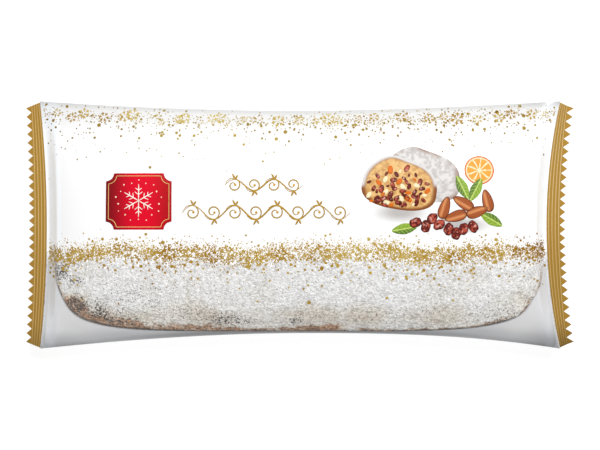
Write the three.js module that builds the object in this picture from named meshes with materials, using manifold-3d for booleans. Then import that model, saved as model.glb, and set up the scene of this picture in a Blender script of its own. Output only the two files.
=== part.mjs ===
// A stollen in its sealed pillow pack, lying on its back.
//
// The pack is one tube of film, pulled tight round a loaf with a flat base and a domed top. A fin seam
// joins the tube along the middle of the back, and a crimped, zigzag-cut seal closes each end. The whole
// pack is one closed solid: the bulge of the loaf, the flared corners, the two seals and the fin.
//
// Millimetres, +Z up, +X along the pack, +Y towards the edge with the plain white film.
// The origin lies in the middle of the flat base.

import * as THREE from 'three';
import { mergeVertices } from 'three/addons/utils/BufferGeometryUtils.js';
import Module from 'manifold-3d';

// ---- Driving dimensions -------------------------------------------------------------------------------

const CROWN_HEIGHT = 50.0; // top of the domed loaf above the base
const SEAL_HEIGHT = 21.0; // plane of the end seals and of the side folds
const FILM_HALF = 0.4; // half the thickness of the pressed film layers in this solid

const FILM_HALF_WIDTH = 81.1; // half the lay-flat width of the film, which it has right beside a seal
const SEAL_HALF_WIDTH = 80.4; // half-width of a seal at its inner edge: pressing draws it in a little
const WAIST_IN_UPPER = 6.2; // how far the +Y side fold draws in at the middle of the pack
const WAIST_IN_LOWER = 10.2; // the same for the -Y side fold
// Shapes of the drawn-in sides, towards the left and the right seal: 2 is a parabola.
const WAIST_POWER = { upper: [1.85, 1.6], lower: [1.74, 2.65] };

// Where each seal starts, ends and has its tips, as [at the corners, drawn in at the middle].
const LEFT_SEAL = { side: -1, inner: [170.5, 4.5], root: [176.4, 2.0], tip: [179.8, 2.1] };
const RIGHT_SEAL = { side: 1, inner: [170.5, 8.9], root: [175.6, 5.3], tip: [180.1, 6.2] };
const ROOT_HALF_WIDTH = 79.3; // half-width along the roots of the teeth
const CORNER_TRIM = 1.3; // how much the cut takes off the corner, so that it slants to the outermost tooth
const TEETH = 28; // teeth along each end
const RIBS = 4; // crimp ribs along each seal
const RIB_RISE = 0.25; // how far a rib stands up or down from the seal plane

// How the top falls to the folds and seals, and how the back rises to them. A swell's exponents are those
// of a rounded box: a high squareness is boxy, a roundness of 0.5 meets the fold upright as an ellipse
// does, and over 1 it meets it flat. Sharpening is added to the sides' roundness towards the ends.
const DOME = {
  sideSquareness: 2.3,
  sideRoundness: 0.56,
  sharpening: 0.62,
  endSquareness: 8.0,
  endRoundness: 0.62,
};
const BACK = {
  sideSquareness: 4.6,
  sideRoundness: 0.62,
  sharpening: 0.7,
  endSquareness: 9.0,
  endRoundness: 0.66,
};
const SHARPENING_POWER = 5; // how late along the pack the sides sharpen
const SEAL_FLARE = [0.03, 0.42]; // shares of the fall to a seal between which the film turns flat into it
const BACK_PRESS = 1.1; // presses the rounded back flat against the ground

// Uneven swell of the loaf's top under the film, as two waves with their lengths and phases.
const LUMP_RISE = 1.1;
const LONG_LUMP = { share: 0.67, alongLength: 37, alongPhase: 0.6, acrossLength: 41, acrossPhase: -0.3 };
const SHORT_LUMP = { share: 0.33, alongLength: 19, acrossLength: 23, phase: 1.7 };

const FIN_HOLLOW = 1.1; // depth of the shallow hollow in the base that the fin lies in
const HOLLOW_FLAT = 14.0; // half-width of the hollow's floor
const HOLLOW_EDGE = 20.0; // half-width of the hollow at its rim
const HOLLOW_LENGTH = 146.0; // half the length of the hollow, where the base has left the ground
const HOLLOW_RUNOUT = 12.0; // length over which the hollow runs out
// The fin's two edges in Y, how far it stands out of the back and into it, where its taper ends before the
// seal, and the length of that taper.
const FIN = { from: -1.0, to: 11.0, drop: 0.7, sink: 0.3, end: 2.0, taper: 6.0 };

const BODY_ROWS = 52; // rows along the pack between the seals
const ROW_CROWDING = 0.8; // how far the rows crowd towards the seals
const COLUMNS = TEETH; // columns across, one for each tooth
const COLUMN_CROWDING = 0.8; // how far the columns crowd towards the side folds, away from the seals
const EVENING_POWER = 4; // how late along the pack the columns turn even
const RIB_ROWS = 2 * RIBS; // rows across a seal, one for each flank of a rib

const FILM = { color: 0xf3f1ec, roughness: 0.35, metalness: 0.0 };

// ---- Small helpers ------------------------------------------------------------------------------------

const mix = (a, b, t) => a + (b - a) * t;

const smooth = (from, to, x) => THREE.MathUtils.smoothstep(x, from, to);

// Distance from the middle of the pack of a line along a seal, which bows inwards between its corners.
const bowed = ([corner, drawn], across) => corner - drawn * (1 - across * across);

// ---- Form of the pack ---------------------------------------------------------------------------------
// along runs from -1 at the left seal to 1 at the right seal, across from -1 at the -Y fold to 1 at the +Y
// fold. Both surfaces are the seal plane plus a swell that is 0 on the folds and seals and 1 in the middle.

// Side folds: the film is widest at the seals and drawn in where it goes round the loaf.
function foldY(along, across) {
  const drawnIn = across > 0 ? WAIST_IN_UPPER : WAIST_IN_LOWER;
  const [leftPower, rightPower] = across > 0 ? WAIST_POWER.upper : WAIST_POWER.lower;
  const toSeal = Math.abs(along) ** (along < 0 ? leftPower : rightPower);
  return across * (FILM_HALF_WIDTH - drawnIn * (1 - toSeal));
}

function foldX(along, across) {
  const left = LEFT_SEAL.side * bowed(LEFT_SEAL.inner, across);
  const right = RIGHT_SEAL.side * bowed(RIGHT_SEAL.inner, across);
  return mix(left, right, (along + 1) / 2);
}

// The swell: a rounded box. Towards the ends its sides turn from round to lens-shaped with sharp folds.
function swell(form, along, across) {
  const sideExponent = form.sideRoundness + form.sharpening * Math.abs(along) ** SHARPENING_POWER;
  const sideFall = (1 - Math.abs(across) ** form.sideSquareness) ** sideExponent;
  const toSeal = 1 - Math.abs(along) ** form.endSquareness;
  const endFall = toSeal ** form.endRoundness * smooth(...SEAL_FLARE, toSeal);
  return sideFall * endFall;
}

// Slow, uneven rises of the baked loaf that the tight film shows.
function lumps(x, y) {
  const long = LONG_LUMP;
  const short = SHORT_LUMP;
  const longWave =
    Math.sin(x / long.alongLength + long.alongPhase) * Math.cos(y / long.acrossLength + long.acrossPhase);
  const shortWave = Math.sin(x / short.alongLength - y / short.acrossLength + short.phase);
  return LUMP_RISE * (long.share * longWave + short.share * shortWave);
}

function topZ(along, across) {
  const rise = swell(DOME, along, across);
  const lumpy = lumps(foldX(along, across), foldY(along, across)) * rise * rise;
  return SEAL_HEIGHT + FILM_HALF + (CROWN_HEIGHT - LUMP_RISE - SEAL_HEIGHT) * rise + lumpy;
}

// The hollow in the base, which ends before the base lifts off the ground.
function hollowZ(along, across) {
  const y = Math.abs(foldY(along, across));
  const x = Math.abs(foldX(along, across));
  const acrossPart = 1 - smooth(HOLLOW_FLAT, HOLLOW_EDGE, y);
  return FIN_HOLLOW * acrossPart * (1 - smooth(HOLLOW_LENGTH, HOLLOW_LENGTH + HOLLOW_RUNOUT, x));
}

function baseZ(along, across) {
  const fall = Math.min(1, BACK_PRESS * swell(BACK, along, across));
  const rounded = (SEAL_HEIGHT - FILM_HALF) * (1 - fall);
  return Math.max(rounded, hollowZ(along, across));
}

// ---- Rows of points across the pack -------------------------------------------------------------------

// A place from -1 to 1 in even steps, moved towards the two ends by the given share.
function crowded(step, steps, share) {
  const even = (2 * step) / steps - 1;
  return mix(even, Math.sin((even * Math.PI) / 2), share);
}

const rowAlong = (row) => crowded(row, BODY_ROWS, ROW_CROWDING);

// Columns crowd towards the folds where the film is round, and are one tooth apart at the seals.
function columnAcross(column, along) {
  return crowded(column, COLUMNS, COLUMN_CROWDING * (1 - Math.abs(along) ** EVENING_POWER));
}

function bodyRow(row) {
  const along = rowAlong(row);
  const points = [];
  for (let column = 0; column <= COLUMNS; column += 1) {
    const across = columnAcross(column, along);
    const x = foldX(along, across);
    const y = foldY(along, across);
    points.push({ x, y, top: topZ(along, across), base: baseZ(along, across) });
  }
  return points;
}

// A row of a seal: both faces follow the same ribs, so the pressed film keeps its thickness.
function sealRow(seal, row) {
  const outwards = row / RIB_ROWS;
  const z = SEAL_HEIGHT + (row % 2 === 1 ? RIB_RISE : -RIB_RISE);
  const points = [];
  for (let column = 0; column <= COLUMNS; column += 1) {
    const across = columnAcross(column, 1);
    const inner = bowed(seal.inner, across);
    const root = bowed(seal.root, across);
    const x = seal.side * mix(inner, root, outwards);
    const trim = Math.abs(across) === 1 ? CORNER_TRIM * outwards : 0;
    const y = across * (mix(SEAL_HALF_WIDTH, ROOT_HALF_WIDTH, outwards) - trim);
    points.push({ x, y, top: z + FILM_HALF, base: z - FILM_HALF });
  }
  return points;
}

function toothTips(seal) {
  const tips = [];
  for (let tooth = 0; tooth < TEETH; tooth += 1) {
    const across = crowded(tooth + 0.5, TEETH, 0);
    const x = seal.side * bowed(seal.tip, across);
    const y = across * ROOT_HALF_WIDTH;
    tips.push({ x, y, top: SEAL_HEIGHT + FILM_HALF, base: SEAL_HEIGHT - FILM_HALF });
  }
  return tips;
}

// All rows, from the tooth roots of the left seal to those of the right one.
function packRows() {
  const rows = [];
  for (let row = RIB_ROWS; row > 0; row -= 1) rows.push(sealRow(LEFT_SEAL, row));
  for (let row = 0; row <= BODY_ROWS; row += 1) rows.push(bodyRow(row));
  for (let row = 1; row <= RIB_ROWS; row += 1) rows.push(sealRow(RIGHT_SEAL, row));
  return rows;
}

// ---- Triangles ----------------------------------------------------------------------------------------

class Triangles {
  constructor() {
    this.positions = [];
  }

  triangle(a, b, c) {
    this.positions.push(...a, ...b, ...c);
  }

  quad(a, b, c, d) {
    this.triangle(a, b, c);
    this.triangle(a, c, d);
  }

  geometry() {
    const geometry = new THREE.BufferGeometry();
    geometry.setAttribute('position', new THREE.Float32BufferAttribute(this.positions, 3));
    return mergeVertices(geometry, 1e-4);
  }
}

const topOf = (point) => [point.x, point.y, point.top];
const baseOf = (point) => [point.x, point.y, point.base];

// Top and back between two rows, and the narrow edge at each side fold.
function addStrip(mesh, near, far) {
  for (let column = 0; column < COLUMNS; column += 1) {
    const [a, b, c, d] = [near[column], far[column], far[column + 1], near[column + 1]];
    mesh.quad(topOf(a), topOf(b), topOf(c), topOf(d));
    mesh.quad(baseOf(a), baseOf(d), baseOf(c), baseOf(b));
  }
  const last = COLUMNS;
  mesh.quad(baseOf(near[0]), baseOf(far[0]), topOf(far[0]), topOf(near[0]));
  mesh.quad(baseOf(far[last]), baseOf(near[last]), topOf(near[last]), topOf(far[last]));
}

// The zigzag end of a seal: each tooth is a small prism on the last row of the seal.
function addTeeth(mesh, seal, roots) {
  toothTips(seal).forEach((tip, tooth) => {
    const pair = [roots[tooth], roots[tooth + 1]];
    const [first, second] = seal.side > 0 ? pair : pair.reverse();
    mesh.triangle(topOf(first), topOf(tip), topOf(second));
    mesh.triangle(baseOf(first), baseOf(second), baseOf(tip));
    mesh.quad(baseOf(first), baseOf(tip), topOf(tip), topOf(first));
    mesh.quad(baseOf(tip), baseOf(second), topOf(second), topOf(tip));
  });
}

function pillowGeometry() {
  const mesh = new Triangles();
  const rows = packRows();
  for (let row = 1; row < rows.length; row += 1) addStrip(mesh, rows[row - 1], rows[row]);
  addTeeth(mesh, LEFT_SEAL, rows[0]);
  addTeeth(mesh, RIGHT_SEAL, rows[rows.length - 1]);
  return mesh.geometry();
}

// ---- Fin seam -----------------------------------------------------------------------------------------

// A flat strip folded against the back. It follows the back up to the seals, where it is pressed away.
function finSection(along) {
  const x = foldX(along, 0);
  const endX = along < 0 ? LEFT_SEAL.inner : RIGHT_SEAL.inner;
  const toSeal = bowed(endX, 0) - Math.abs(x);
  const drop = mix(-FIN.sink / 2, FIN.drop, smooth(FIN.end, FIN.end + FIN.taper, toSeal));
  const halfWidth = foldY(along, 1);
  const back = [FIN.from, FIN.to].map((y) => baseZ(along, y / halfWidth));
  return { x, low: back.map((z) => z - drop), high: back.map((z) => z + FIN.sink) };
}

function finGeometry() {
  const sections = [];
  for (let row = 1; row < BODY_ROWS; row += 1) sections.push(finSection(rowAlong(row)));
  const ring = ({ x, low, high }) => [
    [x, FIN.from, low[0]],
    [x, FIN.to, low[1]],
    [x, FIN.to, high[1]],
    [x, FIN.from, high[0]],
  ];
  const mesh = new Triangles();
  const rings = sections.map(ring);
  for (let row = 1; row < rings.length; row += 1) {
    for (let side = 0; side < 4; side += 1) {
      const next = (side + 1) % 4;
      mesh.quad(rings[row - 1][next], rings[row][next], rings[row][side], rings[row - 1][side]);
    }
  }
  mesh.quad(...[...rings[0]].reverse());
  mesh.quad(...rings[rings.length - 1]);
  return mesh.geometry();
}

// ---- Joining ------------------------------------------------------------------------------------------

function toSolid(wasm, geometry) {
  const vertProperties = new Float32Array(geometry.attributes.position.array);
  const triVerts = new Uint32Array(geometry.index.array);
  return new wasm.Manifold(new wasm.Mesh({ numProp: 3, vertProperties, triVerts }));
}

function toGeometry(solid) {
  const joined = solid.getMesh();
  const geometry = new THREE.BufferGeometry();
  geometry.setAttribute('position', new THREE.Float32BufferAttribute(joined.vertProperties, 3));
  geometry.setIndex([...joined.triVerts]);
  return geometry;
}

const wasm = await Module();
wasm.setup();

const pack = new THREE.Mesh(
  toGeometry(toSolid(wasm, pillowGeometry()).add(toSolid(wasm, finGeometry()))),
  new THREE.MeshStandardMaterial(FILM),
);
pack.name = 'pack';

const stollen = new THREE.Group();
stollen.name = 'packed_stollen';
stollen.add(pack);

export default stollen;
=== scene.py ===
# %% [markdown]
# # A stollen in its flow pack
#
# A flow pack is a tube of film: one web is folded round the loaf, closed by a fin seam along the back and
# by a crimped seal at each end, where a serrated knife also cuts it free. The front of this one is printed
# white with gold dust, and a strip along one side is left clear, so that the sugared loaf shows.
#
# The pack is one closed solid in the frame. Here that solid is replaced by what it stands for: the white
# film, the clear film, the back, the two gold seals, the fin, the print and the loaf inside.

# %% The frame
import math

import bpy
import numpy as np
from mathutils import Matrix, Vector


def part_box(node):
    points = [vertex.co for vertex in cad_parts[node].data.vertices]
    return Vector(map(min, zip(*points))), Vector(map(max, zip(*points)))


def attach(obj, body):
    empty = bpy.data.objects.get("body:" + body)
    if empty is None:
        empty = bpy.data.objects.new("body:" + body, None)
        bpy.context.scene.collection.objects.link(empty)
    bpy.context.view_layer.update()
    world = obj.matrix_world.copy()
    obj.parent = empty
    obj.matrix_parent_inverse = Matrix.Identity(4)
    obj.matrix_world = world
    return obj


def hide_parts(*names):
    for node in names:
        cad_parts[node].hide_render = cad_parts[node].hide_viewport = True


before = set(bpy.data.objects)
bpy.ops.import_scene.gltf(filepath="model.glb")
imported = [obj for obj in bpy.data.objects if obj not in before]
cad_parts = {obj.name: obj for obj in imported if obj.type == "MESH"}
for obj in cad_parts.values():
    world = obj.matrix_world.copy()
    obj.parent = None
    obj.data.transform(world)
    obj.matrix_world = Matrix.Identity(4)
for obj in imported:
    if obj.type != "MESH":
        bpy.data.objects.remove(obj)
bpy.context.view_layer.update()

MM = 0.001
PACK_LOW, PACK_HIGH = (np.array(corner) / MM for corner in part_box("pack"))
PACK_LENGTH, PACK_WIDTH, PACK_HEIGHT = PACK_HIGH - PACK_LOW
print(f"pack {PACK_LENGTH:.1f} x {PACK_WIDTH:.1f} x {PACK_HEIGHT:.1f} mm")

# %% [markdown]
# ## Small tools
#
# Every piece below is a surface worked out with numpy in millimetres and handed to Blender in metres. It
# could also be shaped by hand or by modifiers, but a formula puts each point just where the solid has it. A
# grid of points becomes a sheet, and two grids, one a film's thickness under the other, become a closed
# slab. Colours are written as they look on screen, 0 to 255, and turned into Blender's linear values.


# %% Faces of sheets and slabs
def grid_faces(rows, columns, first=0):
    """Quads between neighbours of a rows x columns grid; they face up if rows run +X and columns +Y."""
    at = first + np.arange(rows * columns).reshape(rows, columns)
    return np.stack([at[:-1, :-1], at[1:, :-1], at[1:, 1:], at[:-1, 1:]], axis=-1).reshape(-1, 4)


def slab_faces(rows, columns):
    """Faces of a closed slab: an upper grid, a lower grid after it, and the rim that joins them."""
    count = rows * columns
    at = np.arange(count).reshape(rows, columns)
    back = slice(None, None, -1)
    loop = np.concatenate([at[0, :-1], at[:-1, -1], at[-1, back][:-1], at[back, 0][:-1]])
    ahead = np.roll(loop, -1)
    rim = np.stack([loop, ahead, ahead + count, loop + count], axis=1)
    return np.concatenate([grid_faces(rows, columns), grid_faces(rows, columns, count)[:, ::-1], rim])


print("a slab between two grids of 3 x 3 points has", len(slab_faces(3, 3)), "faces")

# %% From points to a piece
BODY = "root"


def add_object(name, data):
    """An object at the origin for a mesh, a lamp or a camera."""
    made = bpy.data.objects.new(name, data)
    bpy.context.scene.collection.objects.link(made)
    return made


def add_attribute(mesh, label, values):
    """One number a point becomes a float attribute, three become a colour."""
    if values.ndim == 1:
        mesh.attributes.new(label, "FLOAT", "POINT").data.foreach_set("value", values)
        return
    colours = np.concatenate([values, np.ones((len(values), 1), np.float32)], axis=1)
    mesh.attributes.new(label, "FLOAT_COLOR", "POINT").data.foreach_set("color", colours.ravel())


def new_piece(name, points, faces, finish, smooth=True, **attributes):
    """A mesh object in place at the origin, from points in millimetres. faces is one array, or several with
    different corner counts, and a finish is a material and the name of its slot; the slot's name is not used."""
    faces = faces if isinstance(faces, list) else [faces]
    corners = np.concatenate([part.ravel() for part in faces]).astype(np.int32)
    sizes = np.concatenate([np.full(len(part), part.shape[1]) for part in faces])
    mesh = bpy.data.meshes.new(name)
    mesh.vertices.add(len(points))
    mesh.vertices.foreach_set("co", (np.asarray(points) * MM).astype(np.float32).ravel())
    mesh.loops.add(len(corners))
    mesh.loops.foreach_set("vertex_index", corners)
    mesh.polygons.add(len(sizes))
    mesh.polygons.foreach_set("loop_start", np.concatenate([[0], np.cumsum(sizes)[:-1]]).astype(np.int32))
    mesh.update(calc_edges=True)
    mesh.validate()
    if smooth:
        mesh.shade_smooth()
    else:
        mesh.shade_flat()
    for label, values in attributes.items():
        add_attribute(mesh, label, np.asarray(values, dtype=np.float32))
    material, slot = finish
    mesh.materials.append(material)
    piece = add_object(name, mesh)
    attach(piece, BODY)
    print(f"{name}: {len(points)} points, {len(mesh.polygons)} faces")
    return piece


print("every piece rides on", BODY)


# %% Blends and colours
def mix(a, b, t):
    """Straight change from a to b as t goes from 0 to 1."""
    return a + (b - a) * t


def smooth_step(low, high, value):
    """Smooth change from 0 at low to 1 at high: t squared times (3 - 2t)."""
    t = np.clip((value - low) / (high - low), 0, 1)
    return t * t * (3 - 2 * t)


def bell(value, reach):
    """1 where value is 0, and e to the power -(value / reach)^2 away from it."""
    return np.exp(-((value / reach) ** 2))


def blend(first, second, share):
    """A colour a point, between first and second by that point's share."""
    return mix(first, second, share[:, None])


def same_tone(tone, count):
    """One colour for every point."""
    return np.repeat(tone[None], count, axis=0)


def ink(red, green, blue):
    """Screen colour, 0 to 255, as linear values from 0 to 1."""
    screen = np.array([red, green, blue]) / 255
    return np.where(screen <= 0.04045, screen / 12.92, ((screen + 0.055) / 1.055) ** 2.4)


print("mid grey on screen is", ink(128, 128, 128).round(3), "in linear values")

# %% [markdown]
# ## The form of the pack
#
# The film's form is two swells on one flat plane, the plane of the seals. along runs from -1 at the left
# seal to 1 at the right, across from -1 at the lower side fold to 1 at the upper one. A swell is 0 on the
# folds and seals and 1 in the middle, like a rounded box, and its sides sharpen into thin folds towards
# the ends. Film could also be draped over the loaf by a cloth simulation, but these are the formulas of the
# solid, so the film lies exactly where the solid's faces are.

# %% Plan of the pack
SEAL_PLANE = 21.0
FILM_HALF_WIDTH = PACK_WIDTH / 2  # of the film right beside a seal
SEAL_HALF_WIDTH = 80.4  # of a seal at its inner edge, where pressing draws it in a little
UPPER_WAIST = (6.2, 1.85, 1.6)  # how far this fold draws in, and the powers of its left and right halves
LOWER_WAIST = (10.2, 1.74, 2.65)
# Lines along a seal, each by the X of its corners and how far its middle bows inwards
LEFT_SEAL = {"side": -1, "inner": (170.5, 4.5), "root": (176.4, 2.0), "tip": (179.8, 2.1)}
RIGHT_SEAL = {"side": 1, "inner": (170.5, 8.9), "root": (175.6, 5.3), "tip": (180.1, 6.2)}
PLACE_ROUNDS = 8  # of correction, after which a place is right to far less than the film's thickness


def seal_line(seal, line, across):
    """X of a line along a seal: it bows inwards between its corners as a parabola."""
    corner, drawn = seal[line]
    return seal["side"] * (corner - drawn * (1 - across**2))


def half_width(along, upper):
    """From the middle line to the upper or the lower fold, which are drawn in at the waist."""
    drawn, left, right = (np.where(upper, *pair) for pair in zip(UPPER_WAIST, LOWER_WAIST))
    return FILM_HALF_WIDTH - drawn * (1 - np.abs(along) ** np.where(along < 0, left, right))


def pack_xy(along, across):
    """Plan of the pack: straight lines between the bowed seals, drawn in at the waist."""
    y = across * half_width(along, across > 0)
    left = seal_line(LEFT_SEAL, "inner", across)
    right = seal_line(RIGHT_SEAL, "inner", across)
    return mix(left, right, (along + 1) / 2), y


def place_at(x, y):
    """The along and across of a plan position, found by a few rounds of correction."""
    along = x / LEFT_SEAL["inner"][0]
    for _ in range(PLACE_ROUNDS):
        across = np.clip(y / half_width(along, y > 0), -1, 1)
        left = seal_line(LEFT_SEAL, "inner", across)
        right = seal_line(RIGHT_SEAL, "inner", across)
        along = np.clip(2 * (x - left) / (right - left) - 1, -1, 1)
    return along, across


print(f"at the waist the upper fold is {half_width(0, True):.1f} mm from the middle line")

# %% Swells and lumps
DOME = {"side_squareness": 2.3, "side_roundness": 0.56, "sharpening": 0.62}
DOME |= {"end_squareness": 8.0, "end_roundness": 0.62}
BACK = {"side_squareness": 4.6, "side_roundness": 0.62, "sharpening": 0.7}
BACK |= {"end_squareness": 9.0, "end_roundness": 0.66}
SHARPENING_POWER = 5
SEAL_FLARE = (0.03, 0.42)  # how far from the seals the swells turn flat, as the fall of their end power
LUMP_RISE = 1.1
LONG_WAVE = (37, 41)  # millimetres to a radian, along and across
SHORT_WAVE = (19, 23)


def swell(form, along, across):
    """Rounded box: (1 - |across|^a)^b times (1 - |along|^c)^d, turned flat where it meets a seal."""
    exponent = form["side_roundness"] + form["sharpening"] * np.abs(along) ** SHARPENING_POWER
    side_fall = (1 - np.abs(across) ** form["side_squareness"]) ** exponent
    to_seal = 1 - np.abs(along) ** form["end_squareness"]
    return side_fall * to_seal ** form["end_roundness"] * smooth_step(*SEAL_FLARE, to_seal)


def lumps(x, y):
    """Slow uneven rises of the loaf: two thirds of a long wave and a third of a short, slanting one."""
    long_wave = np.sin(x / LONG_WAVE[0] + 0.6) * np.cos(y / LONG_WAVE[1] - 0.3)
    short_wave = np.sin(x / SHORT_WAVE[0] - y / SHORT_WAVE[1] + 1.7)
    return LUMP_RISE * (0.67 * long_wave + 0.33 * short_wave)


print(f"half-way to a fold the front has {swell(DOME, 0, 0.5):.2f} of its rise")

# %% Faces of the film
HEIGHT = 50.0
DOME_RISE = HEIGHT - LUMP_RISE - SEAL_PLANE
BACK_PRESS = 1.1  # over 1, so that the back is flat all over its middle
FIN_HOLLOW = 1.1  # height of the hollow that the fin lies in
HOLLOW_FLAT = 14.0  # from the middle line to where its roof begins to fall, and to its edge
HOLLOW_EDGE = 20.0
HOLLOW_LENGTH = 146.0  # from the pack's middle, before it runs out
HOLLOW_RUNOUT = 12.0
FILM = 0.07  # thickness of the film
FOLD_GAP = 0.01  # from the middle plane to the film where it is pressed together
GROUND_GAP = 0.1  # keeps the back film just off the ground


def front_z(along, across):
    """Outer face of the front film: the seal plane, the swell and the lumps."""
    rise = swell(DOME, along, across)
    x, y = pack_xy(along, across)
    return SEAL_PLANE + FOLD_GAP + FILM + DOME_RISE * rise + lumps(x, y) * rise**2


def back_z(along, across):
    """Outer face of the back film: pressed flat on the ground, with a hollow for the fin."""
    fall = np.minimum(1, BACK_PRESS * swell(BACK, along, across))
    x, y = pack_xy(along, across)
    hollow = FIN_HOLLOW * (1 - smooth_step(HOLLOW_FLAT, HOLLOW_EDGE, np.abs(y)))
    hollow *= 1 - smooth_step(HOLLOW_LENGTH, HOLLOW_LENGTH + HOLLOW_RUNOUT, np.abs(x))
    rounded = (SEAL_PLANE - FOLD_GAP - FILM) * (1 - fall)
    return np.maximum(np.maximum(rounded, hollow), GROUND_GAP)


def on_front(x, y, lift):
    """Points on the front film over plan positions, raised by lift."""
    return np.stack([x, y, front_z(*place_at(x, y)) + lift], axis=-1)


print(f"the front rises {DOME_RISE:.1f} mm over the seals")

# %% [markdown]
# ## Shared finishes
#
# Two effects are used by more than one material, so each is a node group. Film ripple is the faint
# unevenness of stretched film, as a height for a Bump node. Ink mottle is the slight unevenness of printed
# ink, as a factor for a colour. Both could be images, but noise on Object coordinates has no edge and no
# repeat. The powdered sugar has a group too, which stands with the loaf, the only piece that wears it.


# %% Node helpers
def plug(tree, value, socket):
    """Gives an input a value, or a link from another node's output."""
    if isinstance(value, bpy.types.NodeSocket):
        tree.links.new(value, socket)
    else:
        socket.default_value = value


def node(tree, kind, inputs=(), **settings):
    """A node with its settings and inputs; an input may be a value or another node's output."""
    made = tree.nodes.new(kind)
    for label, value in settings.items():
        setattr(made, label, value)
    for label, value in dict(inputs).items():
        plug(tree, value, made.inputs[label])
    return made


def work_out(tree, operation, *values, clamp=False):
    """Output of a Math node; MULTIPLY_ADD is the first times the second plus the third."""
    inputs = dict(enumerate(values))
    return node(tree, "ShaderNodeMath", inputs, operation=operation, use_clamp=clamp).outputs[0]


def ramp(tree, value, low, high):
    """Output of a Map Range node: 0 where value is low or less, 1 where it is high or more."""
    inputs = {"Value": value, "From Min": low, "From Max": high}
    return node(tree, "ShaderNodeMapRange", inputs).outputs[0]


def noise(tree, scale, detail=2.0, roughness=0.5):
    """Noise from 0 to 1 on Object coordinates, with its scale in features a metre."""
    place = node(tree, "ShaderNodeTexCoord").outputs["Object"]
    inputs = {"Vector": place, "Scale": scale, "Detail": detail, "Roughness": roughness}
    return node(tree, "ShaderNodeTexNoise", inputs).outputs["Fac"]


def attribute(tree, label, output="Fac"):
    """What a mesh attribute says at each place: Fac for a number, Color for a colour."""
    return node(tree, "ShaderNodeAttribute", attribute_name=label).outputs[output]


def mix_colour(tree, factor, first, second):
    """A colour between first and second, each a colour or another node's output."""
    made = node(tree, "ShaderNodeMix", data_type="RGBA")
    for index, value in ((0, factor), (6, first), (7, second)):
        plug(tree, (*value, 1) if isinstance(value, np.ndarray) else value, made.inputs[index])
    return made.outputs[2]


print("node helpers:", *(helper.__name__ for helper in (node, work_out, ramp, noise, attribute, mix_colour)))


# %% Groups and materials
def new_group(name, inputs, outputs):
    """An empty node group with float inputs, as {name: default}, and float outputs; its inner sockets too."""
    group = bpy.data.node_groups.new(name, "ShaderNodeTree")
    for label, default in inputs.items():
        socket = group.interface.new_socket(label, in_out="INPUT", socket_type="NodeSocketFloat")
        socket.default_value = default
    for label in outputs:
        group.interface.new_socket(label, in_out="OUTPUT", socket_type="NodeSocketFloat")
    return group, group.nodes.new("NodeGroupInput").outputs, group.nodes.new("NodeGroupOutput").inputs


def use_group(tree, group, **inputs):
    """A group placed in a material with its own inputs; gives its outputs."""
    return node(tree, "ShaderNodeGroup", inputs, node_tree=group).outputs


def new_material(name, **constants):
    """A material with one Principled shader, and constants set on the shader's own sockets."""
    material = bpy.data.materials.new(name)
    material.use_nodes = True
    shader = material.node_tree.nodes["Principled BSDF"]
    for label, value in constants.items():
        shader.inputs[label.replace("_", " ")].default_value = value
    return material, material.node_tree, shader


def bump(tree, shader, height, distance, strength=1.0):
    """Feeds a height in metres times distance to the shader's Normal."""
    inputs = {"Height": height, "Distance": distance, "Strength": strength}
    tree.links.new(node(tree, "ShaderNodeBump", inputs).outputs["Normal"], shader.inputs["Normal"])


print("material helpers:", *(helper.__name__ for helper in (new_group, use_group, new_material, bump)))


# %% Film ripple and ink mottle
def ripple_group():
    """Height is a wide noise plus a little of a fine one, times Strength."""
    group, given, result = new_group("film_ripple", {"Strength": 1.0}, ["Height"])
    wide, fine = noise(group, 60, 1.0), noise(group, 420)
    both = work_out(group, "MULTIPLY_ADD", fine, 0.18, wide)
    group.links.new(work_out(group, "MULTIPLY", both, given["Strength"]), result["Height"])
    return group


def mottle_group():
    """Shade is 1 plus Amount times a noise from -0.5 to 0.5."""
    group, given, result = new_group("ink_mottle", {"Amount": 0.1}, ["Shade"])
    centred = work_out(group, "ADD", noise(group, 900, 3.0, 0.6), -0.5)
    group.links.new(work_out(group, "MULTIPLY_ADD", centred, given["Amount"], 1.0), result["Shade"])
    return group


RIPPLE = ripple_group()
MOTTLE = mottle_group()
RIPPLE_HEIGHT = 0.0006  # metres
RIPPLE_STRENGTH = 0.35


def rippled(tree, shader):
    """The faint ripple of stretched film."""
    bump(tree, shader, use_group(tree, RIPPLE, Strength=1.0)["Height"], RIPPLE_HEIGHT, RIPPLE_STRENGTH)


def mottled(tree, shader, label, amount):
    """Base Color is a colour attribute times ink mottle."""
    inputs = {0: attribute(tree, label, "Color"), "Scale": use_group(tree, MOTTLE, Amount=amount)["Shade"]}
    toned = node(tree, "ShaderNodeVectorMath", inputs, operation="SCALE")
    tree.links.new(toned.outputs[0], shader.inputs["Base Color"])


print("groups:", RIPPLE.name, MOTTLE.name)

# %% [markdown]
# ## Film and ink materials
#
# The printed film is white ink under a clear, satin outer layer: a pale base with a coat. The clear film
# shows what lies behind it, so most of it is a Transparent shader, and a glossy shader takes over where the
# film turns away from the eye, as all films do. It could be glass with a real thickness, but then the
# render would need many more samples and look the same. Gold and coloured inks take their colour from an
# attribute of their mesh, so each fleck can have its own tone. A finish is a material and its slot's name.


# %% Film and ink
def white_film():
    """White ink under a satin coat, toned by its mesh."""
    material, tree, shader = new_material("white_film", Roughness=0.34, Coat_Weight=0.35, Coat_Roughness=0.16)
    mottled(tree, shader, "tone", 0.02)
    rippled(tree, shader)
    return material


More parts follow.
